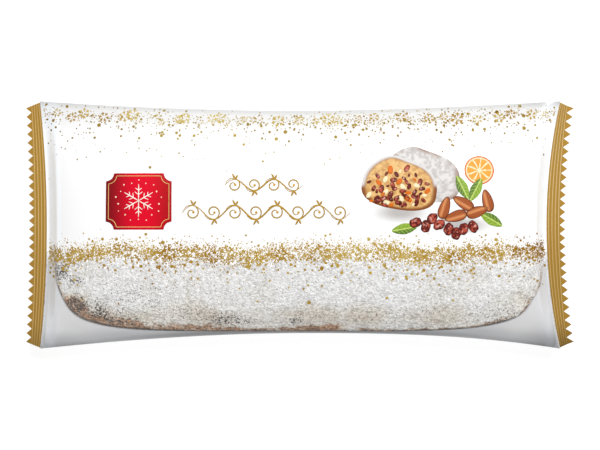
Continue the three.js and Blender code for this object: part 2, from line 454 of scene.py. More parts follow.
def clear_film():
    """Transparent, under a shader that takes over by the haze attribute and where the film turns away."""
    material, tree, shader = new_material("clear_film", Roughness=0.3, Coat_Weight=0.5, Coat_Roughness=0.12)
    tree.links.new(attribute(tree, "tone", "Color"), shader.inputs["Base Color"])
    rippled(tree, shader)
    turned = node(tree, "ShaderNodeLayerWeight", {"Blend": 0.35}).outputs["Facing"]
    steep = work_out(tree, "POWER", turned, 3.0)
    cover = work_out(tree, "MULTIPLY_ADD", steep, 0.5, attribute(tree, "haze"), clamp=True)
    see_through = node(tree, "ShaderNodeBsdfTransparent").outputs[0]
    both = node(tree, "ShaderNodeMixShader", {0: cover, 1: see_through, 2: shader.outputs[0]})
    tree.links.new(both.outputs[0], tree.nodes["Material Output"].inputs["Surface"])
    return material


def printed_ink(name, metallic, roughness):
    """Ink of the colour that its mesh says at each point, with a little mottle."""
    constants = {"Metallic": metallic, "Roughness": roughness, "Specular_IOR_Level": 0.1}
    material, tree, shader = new_material(name, **constants)
    mottled(tree, shader, "tint", 0.16)
    return material


WHITE = (white_film(), "printed_film")
CLEAR = (clear_film(), "clear_film")
GOLD = (printed_ink("gold_ink", 0.15, 0.38), "gold_print")
COLOUR = (printed_ink("colour_ink", 0.0, 0.36), "colour_print")
print("finishes:", *(f"{material.name} in {slot};" for material, slot in (WHITE, CLEAR, GOLD, COLOUR)))

# %% [markdown]
# ## The film
#
# The front is cut in two along the edge of the white print: white film above, clear film below. Both are
# slabs a film's thickness apart, and the clear one runs a little way under the white one, as the web does.
# The grid's lines crowd towards the side folds and the seals, where the film turns fastest.
#
# Where the clear film lies on the loaf it can hardly be seen. Where it stands free, it and the back film
# look milky, with painted shade: grey at the lower fold and in the corners, where the two close up, and
# paler by painted light where the film climbs from a seal. That could be left to the light, but light that
# bounces between two thin films needs far too many samples, so it is painted on as two attributes: haze
# says how much of the film shows, tone its colour. The clear film throws no shadow, because so thin a film
# hardly does.

# %% Where the film is white, clear and milky
WINDOW_EDGE = -19.0  # Y of the edge between white print and clear film
LOAF_HALF_LENGTH = 159.6
LOAF_HALF_WIDTH = 69.3
PLAN_POWER = (5.7, 5.2)  # of the superellipses that are the left and right halves of the loaf's plan
CORNER_DEPTH = (-2.0, 3.3)  # how far its lower corners, left and right, are flattened
CORNER_Y = -49.0
CORNER_REACH = 11.0
CORNER_SPAN = (134, 152)  # the flattening starts and is full at these distances from the pack's middle
LOAF_OUTLINE = (0.993, 1.002)  # shares of the loaf's plan at which the film leaves the loaf and is free
HAZE_ON_LOAF, HAZE_FREE = 0.04, 0.72  # shares of the film that show
FADE_COVER, FADE_REACH = 0.8, 2.2  # of the white screen below the print: its share, and millimetres to a fall
WHITE_FILM = ink(234, 234, 234)
# painted shade of the white film at its upper fold
WHITE_FOLD_SHADE = ink(190, 190, 189)
# Tones of the clear film: its greys are painted shade, deepest at the lower fold, where the two films close
# up
TONE_FREE = ink(215, 215, 216)  # of clear film that stands free
NEAR_FOLD_SHADE = ink(180, 181, 183)  # nearer to the lower fold
FOLD_SHADE_AT_ENDS = ink(116, 118, 122)  # at the fold, towards the ends
FOLD_SHADE_AT_WAIST = ink(80, 82, 86)  # and at the waist
LOWER_FOLD, UPPER_FOLD = -1.0, 1.0


def print_edge(along):
    """Across of the edge of the white print: a line at WINDOW_EDGE with two slow, shallow waves."""
    wave = 0.8 * np.sin(along * 13 + 1) + 0.5 * np.sin(along * 31)
    return (WINDOW_EDGE + wave) / half_width(along, False)


def flat_corner(x, y):
    """How far the loaf's lower corners lie inside a superellipse: a bell across the corner at each end."""
    depth = np.where(x < 0, *CORNER_DEPTH)
    return depth * bell(y - CORNER_Y, CORNER_REACH) * smooth_step(*CORNER_SPAN, np.abs(x))


def plan_reach(x, y):
    """How far out a place is in the loaf's plan, a superellipse: 0 in the middle, 1 on its outline."""
    power = np.where(x < 0, *PLAN_POWER)
    long = np.abs((x + flat_corner(x, y)) / LOAF_HALF_LENGTH) ** power
    return (long + np.abs(y / LOAF_HALF_WIDTH) ** power) ** (1 / power)


def below_print(x, y):
    """How far a place is below the edge of the white print."""
    along, _ = place_at(x, y)
    return print_edge(along) * half_width(along, False) - y


def film_haze(x, y):
    """How milky the clear film looks: hardly where it lies on the loaf, plainly where it stands free. Just
    below the print it has the fine white screen that ends the print and thins out as e to a power does."""
    free = mix(HAZE_ON_LOAF, HAZE_FREE, smooth_step(*LOAF_OUTLINE, plan_reach(x, y)))
    screen = FADE_COVER * np.exp(-np.maximum(below_print(x, y), 0) / FADE_REACH)
    return np.maximum(free, screen)


print("haze on the loaf and free of it:", film_haze(np.array([0.0, 0.0]), np.array([-50.0, -70.0])).round(2))

# %% Painted light and shade beside the seals and in the corners
LEFT_GLOW = np.array([1.09, 1.13, 1.17])  # factors for red, green and blue
RIGHT_GLOW = np.array([1.12, 1.15, 1.19])
GLOW_COMES, GLOW_HALVES = (0.915, 0.95), (0.96, 1.0)  # stretches of along
GLOW_SHARE = 0.35  # of the glow that the clear film shows; the white film shows it all
# Painted light where the film climbs from a seal, and painted shade in the lip next to it
CLIMB_PAINTED_LIGHT = np.array([0.065, 0.08, 0.10])
CLIMB, CLIMB_REACH = 0.965, 0.013  # along of the film's climb from a seal
LIP = (0.978, 0.992)  # stretch of along where the film turns into the seal
CLEAR_LIP_SHADE = (0.3, 0.15)  # how much darker the clear film is there, left and right
WHITE_LIP_SHADE = 0.06
# Painted shade in the lower corners of the clear film
CORNER_SHADES = ((-1, 0.26, 0.97), (1, 0.57, 0.99))  # side, how grey its corner is, along where it is so
CORNER_START = 0.80
CORNER_HEIGHT = 14  # millimetres above the fold to a fall


def seal_glow(x, y, share):
    """Painted light: film next to a gold seal is tinted a little cooler, against the warm light the seal
    throws on it.
    """
    along, _ = place_at(x, y)
    out = np.abs(along)
    beside = smooth_step(*GLOW_COMES, out) * (1 - 0.5 * smooth_step(*GLOW_HALVES, out))
    cool = np.where((x < 0)[:, None], LEFT_GLOW, RIGHT_GLOW)
    return blend(np.ones(3), cool, share * beside)


def climb_light_and_lip_shade(along):
    """Painted light where the film climbs from a seal, a little paler, and painted shade in the lip next to
    it.
    """
    lip = np.where(along < 0, *CLEAR_LIP_SHADE) * smooth_step(*LIP, np.abs(along))
    return 1 + CLIMB_PAINTED_LIGHT * bell(np.abs(along) - CLIMB, CLIMB_REACH)[:, None] - lip[:, None]


def corner_shade(along, above):
    """Painted shade of the lower corners, where the two films close up: most at the fold of the right one."""
    grey = sum(share * smooth_step(CORNER_START, full, side * along) for side, share, full in CORNER_SHADES)
    return 1 - (grey * bell(above, CORNER_HEIGHT))[:, None]


print("white film beside the left seal, times", seal_glow(np.array([-164.0]), np.array([0.0]), 1.0).round(2))

# %% Tones and painted shade of the clear and the white film
# Where the painted shade at the lower fold changes, begins and ends
WAIST_ENDS = (0.35, 0.7)  # stretch of along where the fold's tone changes from the waist's to the ends'
OPENING = (0.2, -2.4)  # height over the lower fold where the films begin to part, at the waist and the ends
OPENING_CHANGES = (0.3, 0.9)  # stretch of along where that changes
PARTED = 6.5  # and they have parted this much higher
FREE_FROM, FREE_TO = 2, 13  # heights over the fold between which the film comes to stand free
TONE_FALL = (-2, 7.0)  # stretch below the print where the clear film loses its white
# Painted light: the clear film's tone is a little lighter towards the left end
LEFT_LIGHT, RIGHT_LIGHT = 1.03, 0.97  # the left end is a little lighter
LIGHT_CHANGES = (-120, 120)
EDGE_FADE, SIDE_FADE = (0.3, 5), (2, 26)  # stretches below the upper fold where the painted shade gives way to white
EDGE_SHARE, SIDE_SHARE = 0.45, 0.55
FOLD_RIM_SHADE, RIM_REACH = 0.03, 2.8  # of the rim of painted shade at the upper fold: how dark, and millimetres to a fall
RIM_AT_ENDS = (0.03, 0.11)  # what the rim gains towards the left and the right end
RIM_GROWS = (0.80, 0.95)


def film_tone(x, y):
    """Painted shade: pale, darker towards the lower fold, where the two films close up; white next to the
    print.
    """
    along, _ = place_at(x, y)
    above = y + half_width(along, False)
    fold_shade = blend(FOLD_SHADE_AT_WAIST, FOLD_SHADE_AT_ENDS, smooth_step(*WAIST_ENDS, np.abs(along)))
    opening = mix(*OPENING, smooth_step(*OPENING_CHANGES, np.abs(along)))
    near = blend(fold_shade, NEAR_FOLD_SHADE, smooth_step(0, 1, (above - opening) / PARTED))
    free = blend(near, TONE_FREE, smooth_step(FREE_FROM, FREE_TO, above))
    free = free * climb_light_and_lip_shade(along) * corner_shade(along, above)
    free = free * mix(LEFT_LIGHT, RIGHT_LIGHT, smooth_step(*LIGHT_CHANGES, x))[:, None]
    tone = blend(WHITE_FILM, free, smooth_step(*TONE_FALL, below_print(x, y)))
    return seal_glow(x, y, GLOW_SHARE) * tone


def white_tone(x, y):
    """White, with painted shade: greyer in the last millimetres before the upper fold, darker in the lip by a
    seal.
    """
    along, _ = place_at(x, y)
    below = half_width(along, True) - y
    softly = EDGE_SHARE * smooth_step(*EDGE_FADE, below) + SIDE_SHARE * smooth_step(*SIDE_FADE, below)
    rim = FOLD_RIM_SHADE + np.where(along < 0, *RIM_AT_ENDS) * smooth_step(*RIM_GROWS, np.abs(along))
    rim = rim * np.exp(-np.maximum(below, 0) / RIM_REACH)
    lip = 1 - WHITE_LIP_SHADE * smooth_step(*LIP, np.abs(along))[:, None] - rim[:, None]
    return lip * seal_glow(x, y, 1.0) * blend(WHITE_FOLD_SHADE, WHITE_FILM, softly)


def plain_white(x, y):
    """The same white everywhere."""
    return same_tone(WHITE_FILM, len(x))


print("clear film at the lower fold:", film_tone(np.array([0.0, 130.0]), np.array([-70.0, -79.0])).round(2))

# %% Front and back film
OVERLAP = 1.0  # how far the clear film runs under the white print
UNDERLAP = 0.09  # how much lower it lies there
FILM_ROWS = 240
CROWDING = 0.85  # how much the rows crowd towards the seals
WHITE_COLUMNS, CLEAR_COLUMNS, BACK_COLUMNS = 110, 90, 150


def crowded(steps, share):
    """Places from -1 to 1 that move towards both ends by the given share of a sine."""
    even = np.linspace(-1, 1, steps)
    return mix(even, np.sin(even * np.pi / 2), share)


def clear_z(along, across):
    """Outer face of the clear film, a little lower than the white one's."""
    return front_z(along, across) - UNDERLAP


FILM_ALONG = crowded(FILM_ROWS, CROWDING)[:, None]


def film_slab(name, low_edge, high_edge, columns, outer_z, inward, finish, **attributes):
    """A slab between two lines across the pack; its columns crowd at a fold, as across = sin(angle). inward
    is -1 where the inside lies below the outer face, and 1 where it lies above."""
    angle = mix(np.arcsin(low_edge), np.arcsin(high_edge), np.linspace(0, 1, columns)[None, :])
    across = np.sin(angle) + 0 * FILM_ALONG
    along = FILM_ALONG + 0 * across
    x, y = pack_xy(along, across)
    outer = np.stack([x, y, outer_z(along, across)], axis=-1)
    inner = outer + np.array([0, 0, inward * FILM])
    pair = [outer, inner] if inward < 0 else [inner, outer]
    points = np.concatenate([part.reshape(-1, 3) for part in pair])
    values = {label: formula(points[:, 0], points[:, 1]) for label, formula in attributes.items()}
    return new_piece(name, points, slab_faces(*across.shape), finish, **values)


white_edge = print_edge(FILM_ALONG)
white = film_slab("film_white", white_edge, UPPER_FOLD, WHITE_COLUMNS, front_z, -1, WHITE, tone=white_tone)
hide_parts("pack")
clear_edge = white_edge + OVERLAP / SEAL_HALF_WIDTH
window = {"haze": film_haze, "tone": film_tone}
clear = film_slab("film_clear", LOWER_FOLD, clear_edge, CLEAR_COLUMNS, clear_z, -1, CLEAR, **window)
clear.visible_shadow = False
film_slab("film_back", LOWER_FOLD, UPPER_FOLD, BACK_COLUMNS, back_z, 1, WHITE, tone=plain_white)

# %% [markdown]
# ## The crimped seals
#
# At each end the two webs are pressed between ribbed jaws and cut by a zigzag knife. The jaws leave ridges
# that run along the seal, so both faces of the seal rise and fall together, and the flat outer margin
# carries the teeth. A bump map could draw the ridges, but real ones also show in the outline. The seals are
# printed gold; crests catch the light, so a painted highlight makes their tone a little lighter, and painted
# shade darkens the lower end and most of all the lower corners.

# %% Gold seals
TEETH = 28
RIBS = 4
RIB_PHASE = 0.4
RIB_RISE = 0.2
RIB_SHARPNESS = 3
RIB_RUNOUT = 0.06  # share of the seal before the roots in which the ribs die out
ROOT_HALF_WIDTH = 79.3
CORNER_TRIM = 1.3  # what the cut takes off each corner at the roots
SEAL_HALF_THICKNESS = 0.12
SEAL_STEPS = 48
# Crest and valley tones are painted highlight and painted shade of the ribs; the shine is a painted highlight
GOLD_CREST_HIGHLIGHT = ink(204, 172, 112)
GOLD_VALLEY_SHADE = ink(148, 112, 38)
GOLD_FLAT = ink(165, 128, 54)
GOLD_SHINE_HIGHLIGHT = ink(236, 218, 180)
FLAT_BELOW = 0.02  # where a crest is less than this, the seal is flat
# Painted shade: the seal keeps this share of its tone at the lower end, and loses more in a lower corner
LOWER_SHARE = 0.9  # of its light, at the lower end
LOWER_RISE, CORNER_FALL, SHINE_RISE = (-60, 20), (-60, -84), (-30, 50)  # stretches of y where these change


def seal_tone(crest, y, corner_painted_shade, shine):
    """Painted highlight on the crests, painted shade towards the lower end and in the lower corner, and a
    painted shine on crests in the upper half.
    """
    tone = mix(GOLD_VALLEY_SHADE, GOLD_CREST_HIGHLIGHT, crest)
    tone = np.where(crest < FLAT_BELOW, mix(tone, GOLD_FLAT, 0.6), tone)
    tone = tone * (LOWER_SHARE + 0.1 * smooth_step(*LOWER_RISE, y))
    tone = tone * (1 - corner_painted_shade * smooth_step(*CORNER_FALL, y))
    return mix(tone, GOLD_SHINE_HIGHLIGHT, shine * smooth_step(*SHINE_RISE, y) * crest)


def gold_seal(name, seal, corner_painted_shade, shine):
    """Rows run from the inner edge to the roots of the teeth, then one more reaches the tips. A crest is
    the cube of a squared sine of the way across the ribs."""
    step = np.linspace(0, 1, SEAL_STEPS)[:, None]
    across = np.linspace(-1, 1, 2 * TEETH + 1)[None, :]
    x = mix(seal_line(seal, "inner", across), seal_line(seal, "root", across), step)
    trim = CORNER_TRIM * (np.abs(across) == 1)
    y = across * (mix(SEAL_HALF_WIDTH, ROOT_HALF_WIDTH, step) - trim * step)
    wave = np.sin(np.pi * RIBS * step - RIB_PHASE) ** 2
    crest = wave**RIB_SHARPNESS + 0 * y
    tooth = np.arange(2 * TEETH + 1) % 2 == 1
    tip_x = np.where(tooth, seal_line(seal, "tip", across), seal_line(seal, "root", across))
    x = np.concatenate([x, tip_x])
    y = np.concatenate([y, across * (ROOT_HALF_WIDTH - trim)])
    crest = np.concatenate([crest, np.zeros_like(across)])
    runout = smooth_step(0, RIB_RUNOUT, np.append(1 - step, 0))[:, None]
    middle = SEAL_PLANE + RIB_RISE * (2 * crest - 1) * runout
    faces = slab_faces(*x.shape)[:, :: seal["side"]]  # the left seal's rows run the other way
    both = [np.stack([x, y, middle + side * SEAL_HALF_THICKNESS], axis=-1) for side in (1, -1)]
    tone = seal_tone(crest.reshape(-1, 1), y.reshape(-1, 1), corner_painted_shade, shine)
    points = np.concatenate(both).reshape(-1, 3)
    new_piece(name, points, faces, GOLD, smooth=False, tint=np.tile(tone, (2, 1)))


gold_seal("seal_left", LEFT_SEAL, 0.28, 0.0)
gold_seal("seal_right", RIGHT_SEAL, 0.5, 0.22)

# %% [markdown]
# ## The fin seam
#
# The two long edges of the web are pressed together, ribbed by small wheels, and laid over to one side on
# the back. The fin is a thin slab that follows the back film along its whole length. It lies in the shallow
# hollow of the back, so the pack rests on its base and not on the seam. It could be a strip bent by a
# modifier, but the back film's own formula keeps it on the film everywhere.

# %% Fin seam
FIN_FROM, FIN_TO = -1.0, 11.0
FIN_THICKNESS = 0.25
FIN_RIDGE = 0.05
FIN_RIDGES = 150
FIN_REACH = 0.985  # along of its ends
FIN_STEPS = 900
FIN_COLUMNS = 9


def fin_seam():
    """Rows along, columns across; the outer face is the back film's, lowered, with cosine ridges."""
    along = np.linspace(-FIN_REACH, FIN_REACH, FIN_STEPS)[:, None]
    y = np.linspace(FIN_FROM, FIN_TO, FIN_COLUMNS)[None, :] + 0 * along
    across = y / half_width(along, y > 0)
    x, _ = pack_xy(along + 0 * across, across)
    base = back_z(along + 0 * across, across)
    room = smooth_step(0, 1, base / FIN_HOLLOW)
    ridge = FIN_RIDGE * np.cos(along * np.pi * FIN_RIDGES)
    outer = np.stack([x, y, base - (FIN_THICKNESS + ridge) * room], axis=-1).reshape(-1, 3)
    inner = np.stack([x, y, base + 0.4 * FILM], axis=-1).reshape(-1, 3)
    points = np.concatenate([inner, outer])
    new_piece("fin_seam", points, slab_faces(*x.shape), WHITE, tone=plain_white(points[:, 0], points[:, 1]))


fin_seam()

# %% [markdown]
# ## The loaf
#
# A stollen is a heavy yeast loaf, brushed with butter while hot and covered with icing sugar. It is long,
# almost straight-sided and rounded at both ends, and its crust shows through where the sugar is thin: along
# the foot, and in specks all over.
#
# Its skin is one closed tube of sections from end to end. The plan is a superellipse, and rows are spaced by
# the length of its outline, so the rounded ends get as many points as the sides. Only the part under the
# clear film needs fine points. Lumps, crumbs and grains of sugar could be a displaced sphere or a sculpt,
# but here they are true relief from seeded noise, so they are the same each time.


# %% Seeded noise in numpy
def random_at(cell, seed):
    """A repeatable random number from 0 to 1 for each whole-number place, from mixing its bits."""
    mixed = (cell[..., 0] * 73856093) ^ (cell[..., 1] * 19349663) ^ (cell[..., 2] * 83492791)
    mixed = (mixed + seed * 668265263) & 0xFFFFFFFF
    for shift, factor in ((15, 2246822519), (13, 3266489917)):
        mixed = ((mixed ^ (mixed >> shift)) * factor) & 0xFFFFFFFF
    return (mixed ^ (mixed >> 16)) / 0xFFFFFFFF


def neighbours(low, high):
    """Every whole-number step between low and high on three axes."""
    span = np.arange(low, high + 1)
    return np.stack(np.meshgrid(span, span, span), axis=-1).reshape(-1, 3)


def cloud(points, size, seed):
    """Smooth noise from 0 to 1: lattice randoms, size apart, blended by smooth steps on each axis."""
    place = points / size
    corner = np.floor(place).astype(np.int64)
    part = smooth_step(0, 1, place - corner)
    total = 0
    for step in neighbours(0, 1):
        weight = np.prod(np.where(step == 1, part, 1 - part), axis=-1)
        total = total + weight * random_at(corner + step, seed)
    return total


def clouds(points, size, seed, octaves=3):
    """Sum of clouds, each half the size and half the height of the one before, from 0 to 1."""
    total, weight = 0, 0
    for octave in range(octaves):
        total = total + cloud(points, size / 2**octave, seed + octave) / 2**octave
        weight += 1 / 2**octave
    return total / weight


def grains(points, size, seed):
    """Round grains: 1 on the nearest of one random point a cell, falling to 0 a cell away."""
    place = points / size
    corner = np.floor(place).astype(np.int64)
    nearest = np.full(points.shape[:-1], 9.0)
    for step in neighbours(-1, 1):
        cell = corner + step
        spot = np.stack([random_at(cell, seed + axis) for axis in range(3)], axis=-1)
        nearest = np.minimum(nearest, np.sum((cell + spot - place) ** 2, axis=-1))
    return np.clip(1 - nearest, 0, 1)


print("the noise at three places:", cloud(np.arange(9).reshape(3, 3) * 1.3, 2.0, 1).round(2))

# %% The loaf's form
LOAF_WAIST = 18.5  # height of its widest line
LOAF_HEIGHT = 49.5
LOAF_ROWS = 600
FINE_COLUMNS = 92
COARSE_COLUMNS = 22
BASE_COLUMNS = 22
FINE_TURN = np.radians(77)  # how far the fine columns reach, from the lower side over the top
OUTLINE_STEPS = 6001  # along which its outline's length is measured
END_SQUARENESS = 30
TOP_SQUARENESS = 8.0
BASE_SQUARENESS = 4
BASE_PRESS = 1.25  # over 1, so that the base is flat all over its middle


def signed_power(value, power):
    """The power of a value's size, with the sign kept."""
    return np.sign(value) * np.abs(value) ** power


def rounded(share, squareness):
    """Height of a superellipse over a place from 0 in its middle to 1 at its edge: (1 - |share|^a)^0.5."""
    return (1 - np.abs(share) ** squareness) ** 0.5


def loaf_rows():
    """X of each section and its half width, at even steps along half the superellipse outline."""
    turn = np.linspace(0, np.pi, OUTLINE_STEPS)
    power = np.where(turn < np.pi / 2, *PLAN_POWER)
    x = -LOAF_HALF_LENGTH * signed_power(np.cos(turn), 2 / power)
    half = LOAF_HALF_WIDTH * np.sin(turn) ** (2 / power)
    arc = np.concatenate([[0], np.cumsum(np.hypot(np.diff(x), np.diff(half)))])
    even = np.linspace(0, arc[-1], LOAF_ROWS + 2)[1:-1]
    return np.interp(even, arc, x), np.interp(even, arc, half)


def loaf_form():
    """The smooth loaf as rows of closed sections: over the top from the lower side, back under the base."""
    x, half = (part[:, None] for part in loaf_rows())
    top = ((0, FINE_TURN, FINE_COLUMNS), (FINE_TURN, np.pi, COARSE_COLUMNS))
    base = (np.pi, 2 * np.pi, BASE_COLUMNS)
    turn = np.concatenate([np.linspace(*span, endpoint=False) for span in (*top, base)])[None, :]
    share = -np.cos(turn)
    rise = rounded(np.minimum(np.abs(x) / LOAF_HALF_LENGTH, 1), END_SQUARENESS)
    over = (LOAF_HEIGHT - LOAF_WAIST) * rise * rounded(share, TOP_SQUARENESS)
    under = LOAF_WAIST * np.sqrt(rise) * np.minimum(1, BASE_PRESS * rounded(share, BASE_SQUARENESS))
    z = np.where(np.sin(turn) >= 0, LOAF_WAIST + over, LOAF_WAIST - under)
    y = half * share
    return np.stack([x - flat_corner(x, y), y, z], axis=-1)


print("the smooth loaf is a grid of", loaf_form().shape[:2], "points")


# %% Normals and faces of a closed tube
def grid_normals(points):
    """Outward normals of closed sections, from differences between neighbours."""
    ahead = np.gradient(points, axis=0)
    round_about = np.roll(points, -1, axis=1) - np.roll(points, 1, axis=1)
    normal = np.cross(ahead, round_about)
    return normal / np.maximum(np.linalg.norm(normal, axis=-1, keepdims=True), 1e-9)


def tube_faces(rows, columns):
    """Quads of closed sections joined end to end, and a fan on each of the two end points after them."""
    at = np.arange(rows * columns).reshape(rows, columns)
    ahead = np.roll(at, -1, axis=1)
    quads = np.stack([at[:-1], at[1:], ahead[1:], ahead[:-1]], axis=-1).reshape(-1, 4)
    first, last = rows * columns, rows * columns + 1
    start = np.stack([np.full(columns, first), at[0], ahead[0]], axis=-1)
    end = np.stack([np.full(columns, last), ahead[-1], at[-1]], axis=-1)
    return [quads, np.concatenate([start, end])]


print("a tube of 3 sections of 4 points has", sum(len(part) for part in tube_faces(3, 4)), "faces")

# %% Where the sugar is thin
# Stretches of the lower edge where the crust shows: x of the middle, reach along, width, how bare
BARE_EDGES = [
    (-147, 17, 7.5, 0.84),
    (-124, 26, 5.8, 0.88),
    (-90, 50, 6.6, 0.88),
    (-45, 40, 4.0, 0.85),
    (6, 28, 5.4, 0.95),
    (60, 90, 2.2, 0.8),
    (116, 27, 3.0, 0.7),
]
# Places where the sugar is a little thinner: x, y, reach along, reach across, how thin
THIN_PLACES = [
    (-69, -51, 15, 8, 0.16),
    (-58, -58, 16, 9, 0.2),
    (8, -56, 30, 10, 0.28),
    (43, -57, 18, 10, 0.34),
    (0, -62, 150, 11, 0.2),
    (-136, -48, 14, 8, 0.14),
    (138, -52, 26, 14, 0.2),
    (95, -58, 46, 12, 0.26),
    (-82, -57, 46, 10, 0.2),
    (-144, -52, 12, 9, 0.4),
    (-130, -57, 15, 8, 0.34),
    (-112, -61, 22, 7, 0.26),
    (148, -47, 14, 16, 0.14),
    (118, -36, 48, 20, 0.1),
]
# Places with many dark specks, where crust shows between the grains with painted shadow in its pits, in the
# same order
SPECKLED_PLACES = [
    (-154, -30, 9, 10, 1.0),
    (-144, -36, 9, 5, 0.9),
    (-144, -51, 11, 9, 1.0),
    (-130, -54, 11, 10, 0.85),
    (-116, -60, 24, 9, 0.65),
    (-43, -62, 26, 7, 0.7),
    (-64, -58, 30, 9, 0.4),
    (-2, -62, 10, 5, 0.8),
    (-100, -45, 40, 14, 0.35),
    (60, -58, 60, 8, 0.25),
    (150, -42, 12, 18, 0.3),
    (128, -58, 30, 11, 0.45),
]
print(len(BARE_EDGES), "bare stretches,", len(THIN_PLACES) + len(SPECKLED_PLACES), "thin or speckled places")

# %% How bare the crust is
EDGE_BARE = 0.75  # how bare the outermost line of the crust is
RAGGEDNESS = 1.9  # how far the crumbs move the edge of the sugar


def ovals(points, places):
    """Sum of oval places on the loaf, each its own share in its middle and 0 outside it."""
    total = 0
    for x, y, reach_x, reach_y, share in places:
        away = np.hypot((points[..., 0] - x) / reach_x, (points[..., 1] - y) / reach_y)
        total = total + share * (1 - smooth_step(0.2, 1, away))
    return total


def bare_edge(points, crumb):
    """How bare the crust is: most at the outline, gone at a ragged line some millimetres inside it."""
    x, y = points[..., 0], points[..., 1]
    inside = (1 - plan_reach(x, y)) * LOAF_HALF_WIDTH + RAGGEDNESS * crumb
    bare = EDGE_BARE * (1 - smooth_step(0.4, 1.5, inside)) * smooth_step(-22, -34, y)
    for middle, reach, width, share in BARE_EDGES:
        along = 1 - smooth_step(0.5, 1, np.abs(x - middle) / reach)
        lower = smooth_step(-42, -50, y)
        bare = np.maximum(bare, lower * share * along * (1 - smooth_step(0.45 * width, width, inside)))
    return bare


print(f"a point of the foot at x = -90 is {bare_edge(np.array([-90.0, -66.0, 8.0]), 0):.2f} bare")

# %% The loaf's skin
CLEARANCE = 0.25  # from the film
RELIEF_ROOM = 0.9  # room left under the film for the relief
ALONG_LIMIT = 0.985  # how near the loaf may come to the seals
ACROSS_LIMIT = 0.984  # and to the side folds
LUMP_SIZE, LUMP_HEIGHT = 22, 1.6
CRUMB_SIZE, CRUMB_HEIGHT = 5.5, 1.35
COARSE_GRAIN, FINE_GRAIN = 2.0, 1.2
SUGAR_DEPTH = 0.5
SMOOTH_BELOW, RELIEF_ABOVE = 6, 16  # heights between which the relief begins


def loaf_relief(points):
    """Height of the relief: broad lumps, torn crumbs and two sizes of sugar grain."""
    lump = LUMP_HEIGHT * (clouds(points, LUMP_SIZE, 11) - 0.5)
    crumb = CRUMB_HEIGHT * (clouds(points, CRUMB_SIZE, 21) - 0.5)
    grain = 0.7 * grains(points, COARSE_GRAIN, 31) + 0.9 * grains(points, FINE_GRAIN, 41) - 0.8
    return lump, crumb, SUGAR_DEPTH * grain


def keep_in_film(points, room):
    """Moves points in plan off the side folds and seals, then between the two films. The lower limit is
    nowhere less than the height of the fin's hollow."""
    along, across = place_at(points[..., 0], points[..., 1])
    along, across = np.clip(along, -ALONG_LIMIT, ALONG_LIMIT), np.clip(across, -ACROSS_LIMIT, ACROSS_LIMIT)
    x, y = pack_xy(along, across)
    floor = np.maximum(back_z(along, across), FIN_HOLLOW) + FILM + CLEARANCE
    ceiling = np.maximum(clear_z(along, across) - FILM - CLEARANCE - room, floor)
    return np.stack([x, y, np.clip(points[..., 2], floor, ceiling)], axis=-1)


def loaf_skin():
    """Points of the skin, how much sugar lies on each, from 0 to 1.2, and how speckled it is, from 0 to 1."""
    form = loaf_form()
    normal = grid_normals(form)
    lump, crumb, grain = loaf_relief(form)
    shown = np.clip((form[..., 2] - SMOOTH_BELOW) / (RELIEF_ABOVE - SMOOTH_BELOW), 0, 1)
    thin, speckled = ovals(form, THIN_PLACES), ovals(form, SPECKLED_PLACES)
    form = keep_in_film(form, RELIEF_ROOM)
    points = keep_in_film(form + normal * (shown * (lump + crumb + grain))[..., None], 0)
    bare = bare_edge(form, crumb)
    sugar = 1 - bare - thin + 0.22 * (crumb + lump)
    speck = 0.18 + 0.75 * speckled + 0.3 * bare
    return points, np.clip(sugar, 0, 1.2), np.clip(speck, 0, 1)


print("heights of lumps, crumbs and sugar:", LUMP_HEIGHT, CRUMB_HEIGHT, SUGAR_DEPTH, "mm")

# %% [markdown]
# ## Sugared crust
#
# Icing sugar is a fine white powder. Where butter has soaked into it, it is darker and yellower, and where
# it is rubbed off, the brown crust shows, most of all in small pits. The powder group turns how much sugar a
# place has into a ragged cover, puts dark specks where it is told to, crust with painted shadow of the pits,
# and gives the height of the grains. Real grains could be scattered as thousands of balls, but they are finer
# than a point of the render.

# %% Loaf material
CRUST_DARK = ink(82, 54, 32)
CRUST_TAN = ink(204, 160, 124)
SUGAR_SHADE = ink(193, 191, 188)
SUGAR_WHITE = ink(240, 240, 240)
BUTTERED_SHADE = ink(158, 149, 137)
BUTTERED_WHITE = ink(226, 220, 209)
# dark specks: crust in small pits, darkened as painted shadow
SPECK_CRUST_AND_SHADE = ink(62, 55, 48)
GRAIN_HEIGHT = 0.0008  # metres


def powder_group():
    """Cover: 1 where sugar hides the crust; Dark: a speck, crust and painted pit shadow; Grain: the powder's
    height.
    """
    group, given, result = new_group("powder", {"Sugar": 1.0, "Speck": 0.1}, ["Cover", "Dark", "Grain"])
    fine, wide = noise(group, 800, 2.0, 0.6), noise(group, 260, 3.0, 0.6)
    lifted = work_out(group, "MULTIPLY_ADD", work_out(group, "ADD", fine, wide), 1.0, given["Sugar"])
    group.links.new(ramp(group, lifted, 1.02, 1.5), result["Cover"])
    deep = work_out(group, "MULTIPLY_ADD", given["Speck"], 0.26, noise(group, 780, 2.0, 0.7))
    group.links.new(ramp(group, deep, 0.69, 0.79), result["Dark"])
    cells = node(group, "ShaderNodeTexCoord").outputs["Object"]
    crystal = node(group, "ShaderNodeTexVoronoi", {"Vector": cells, "Scale": 900}).outputs["Distance"]
    group.links.new(work_out(group, "MULTIPLY_ADD", crystal, -0.6, fine), result["Grain"])
    return group


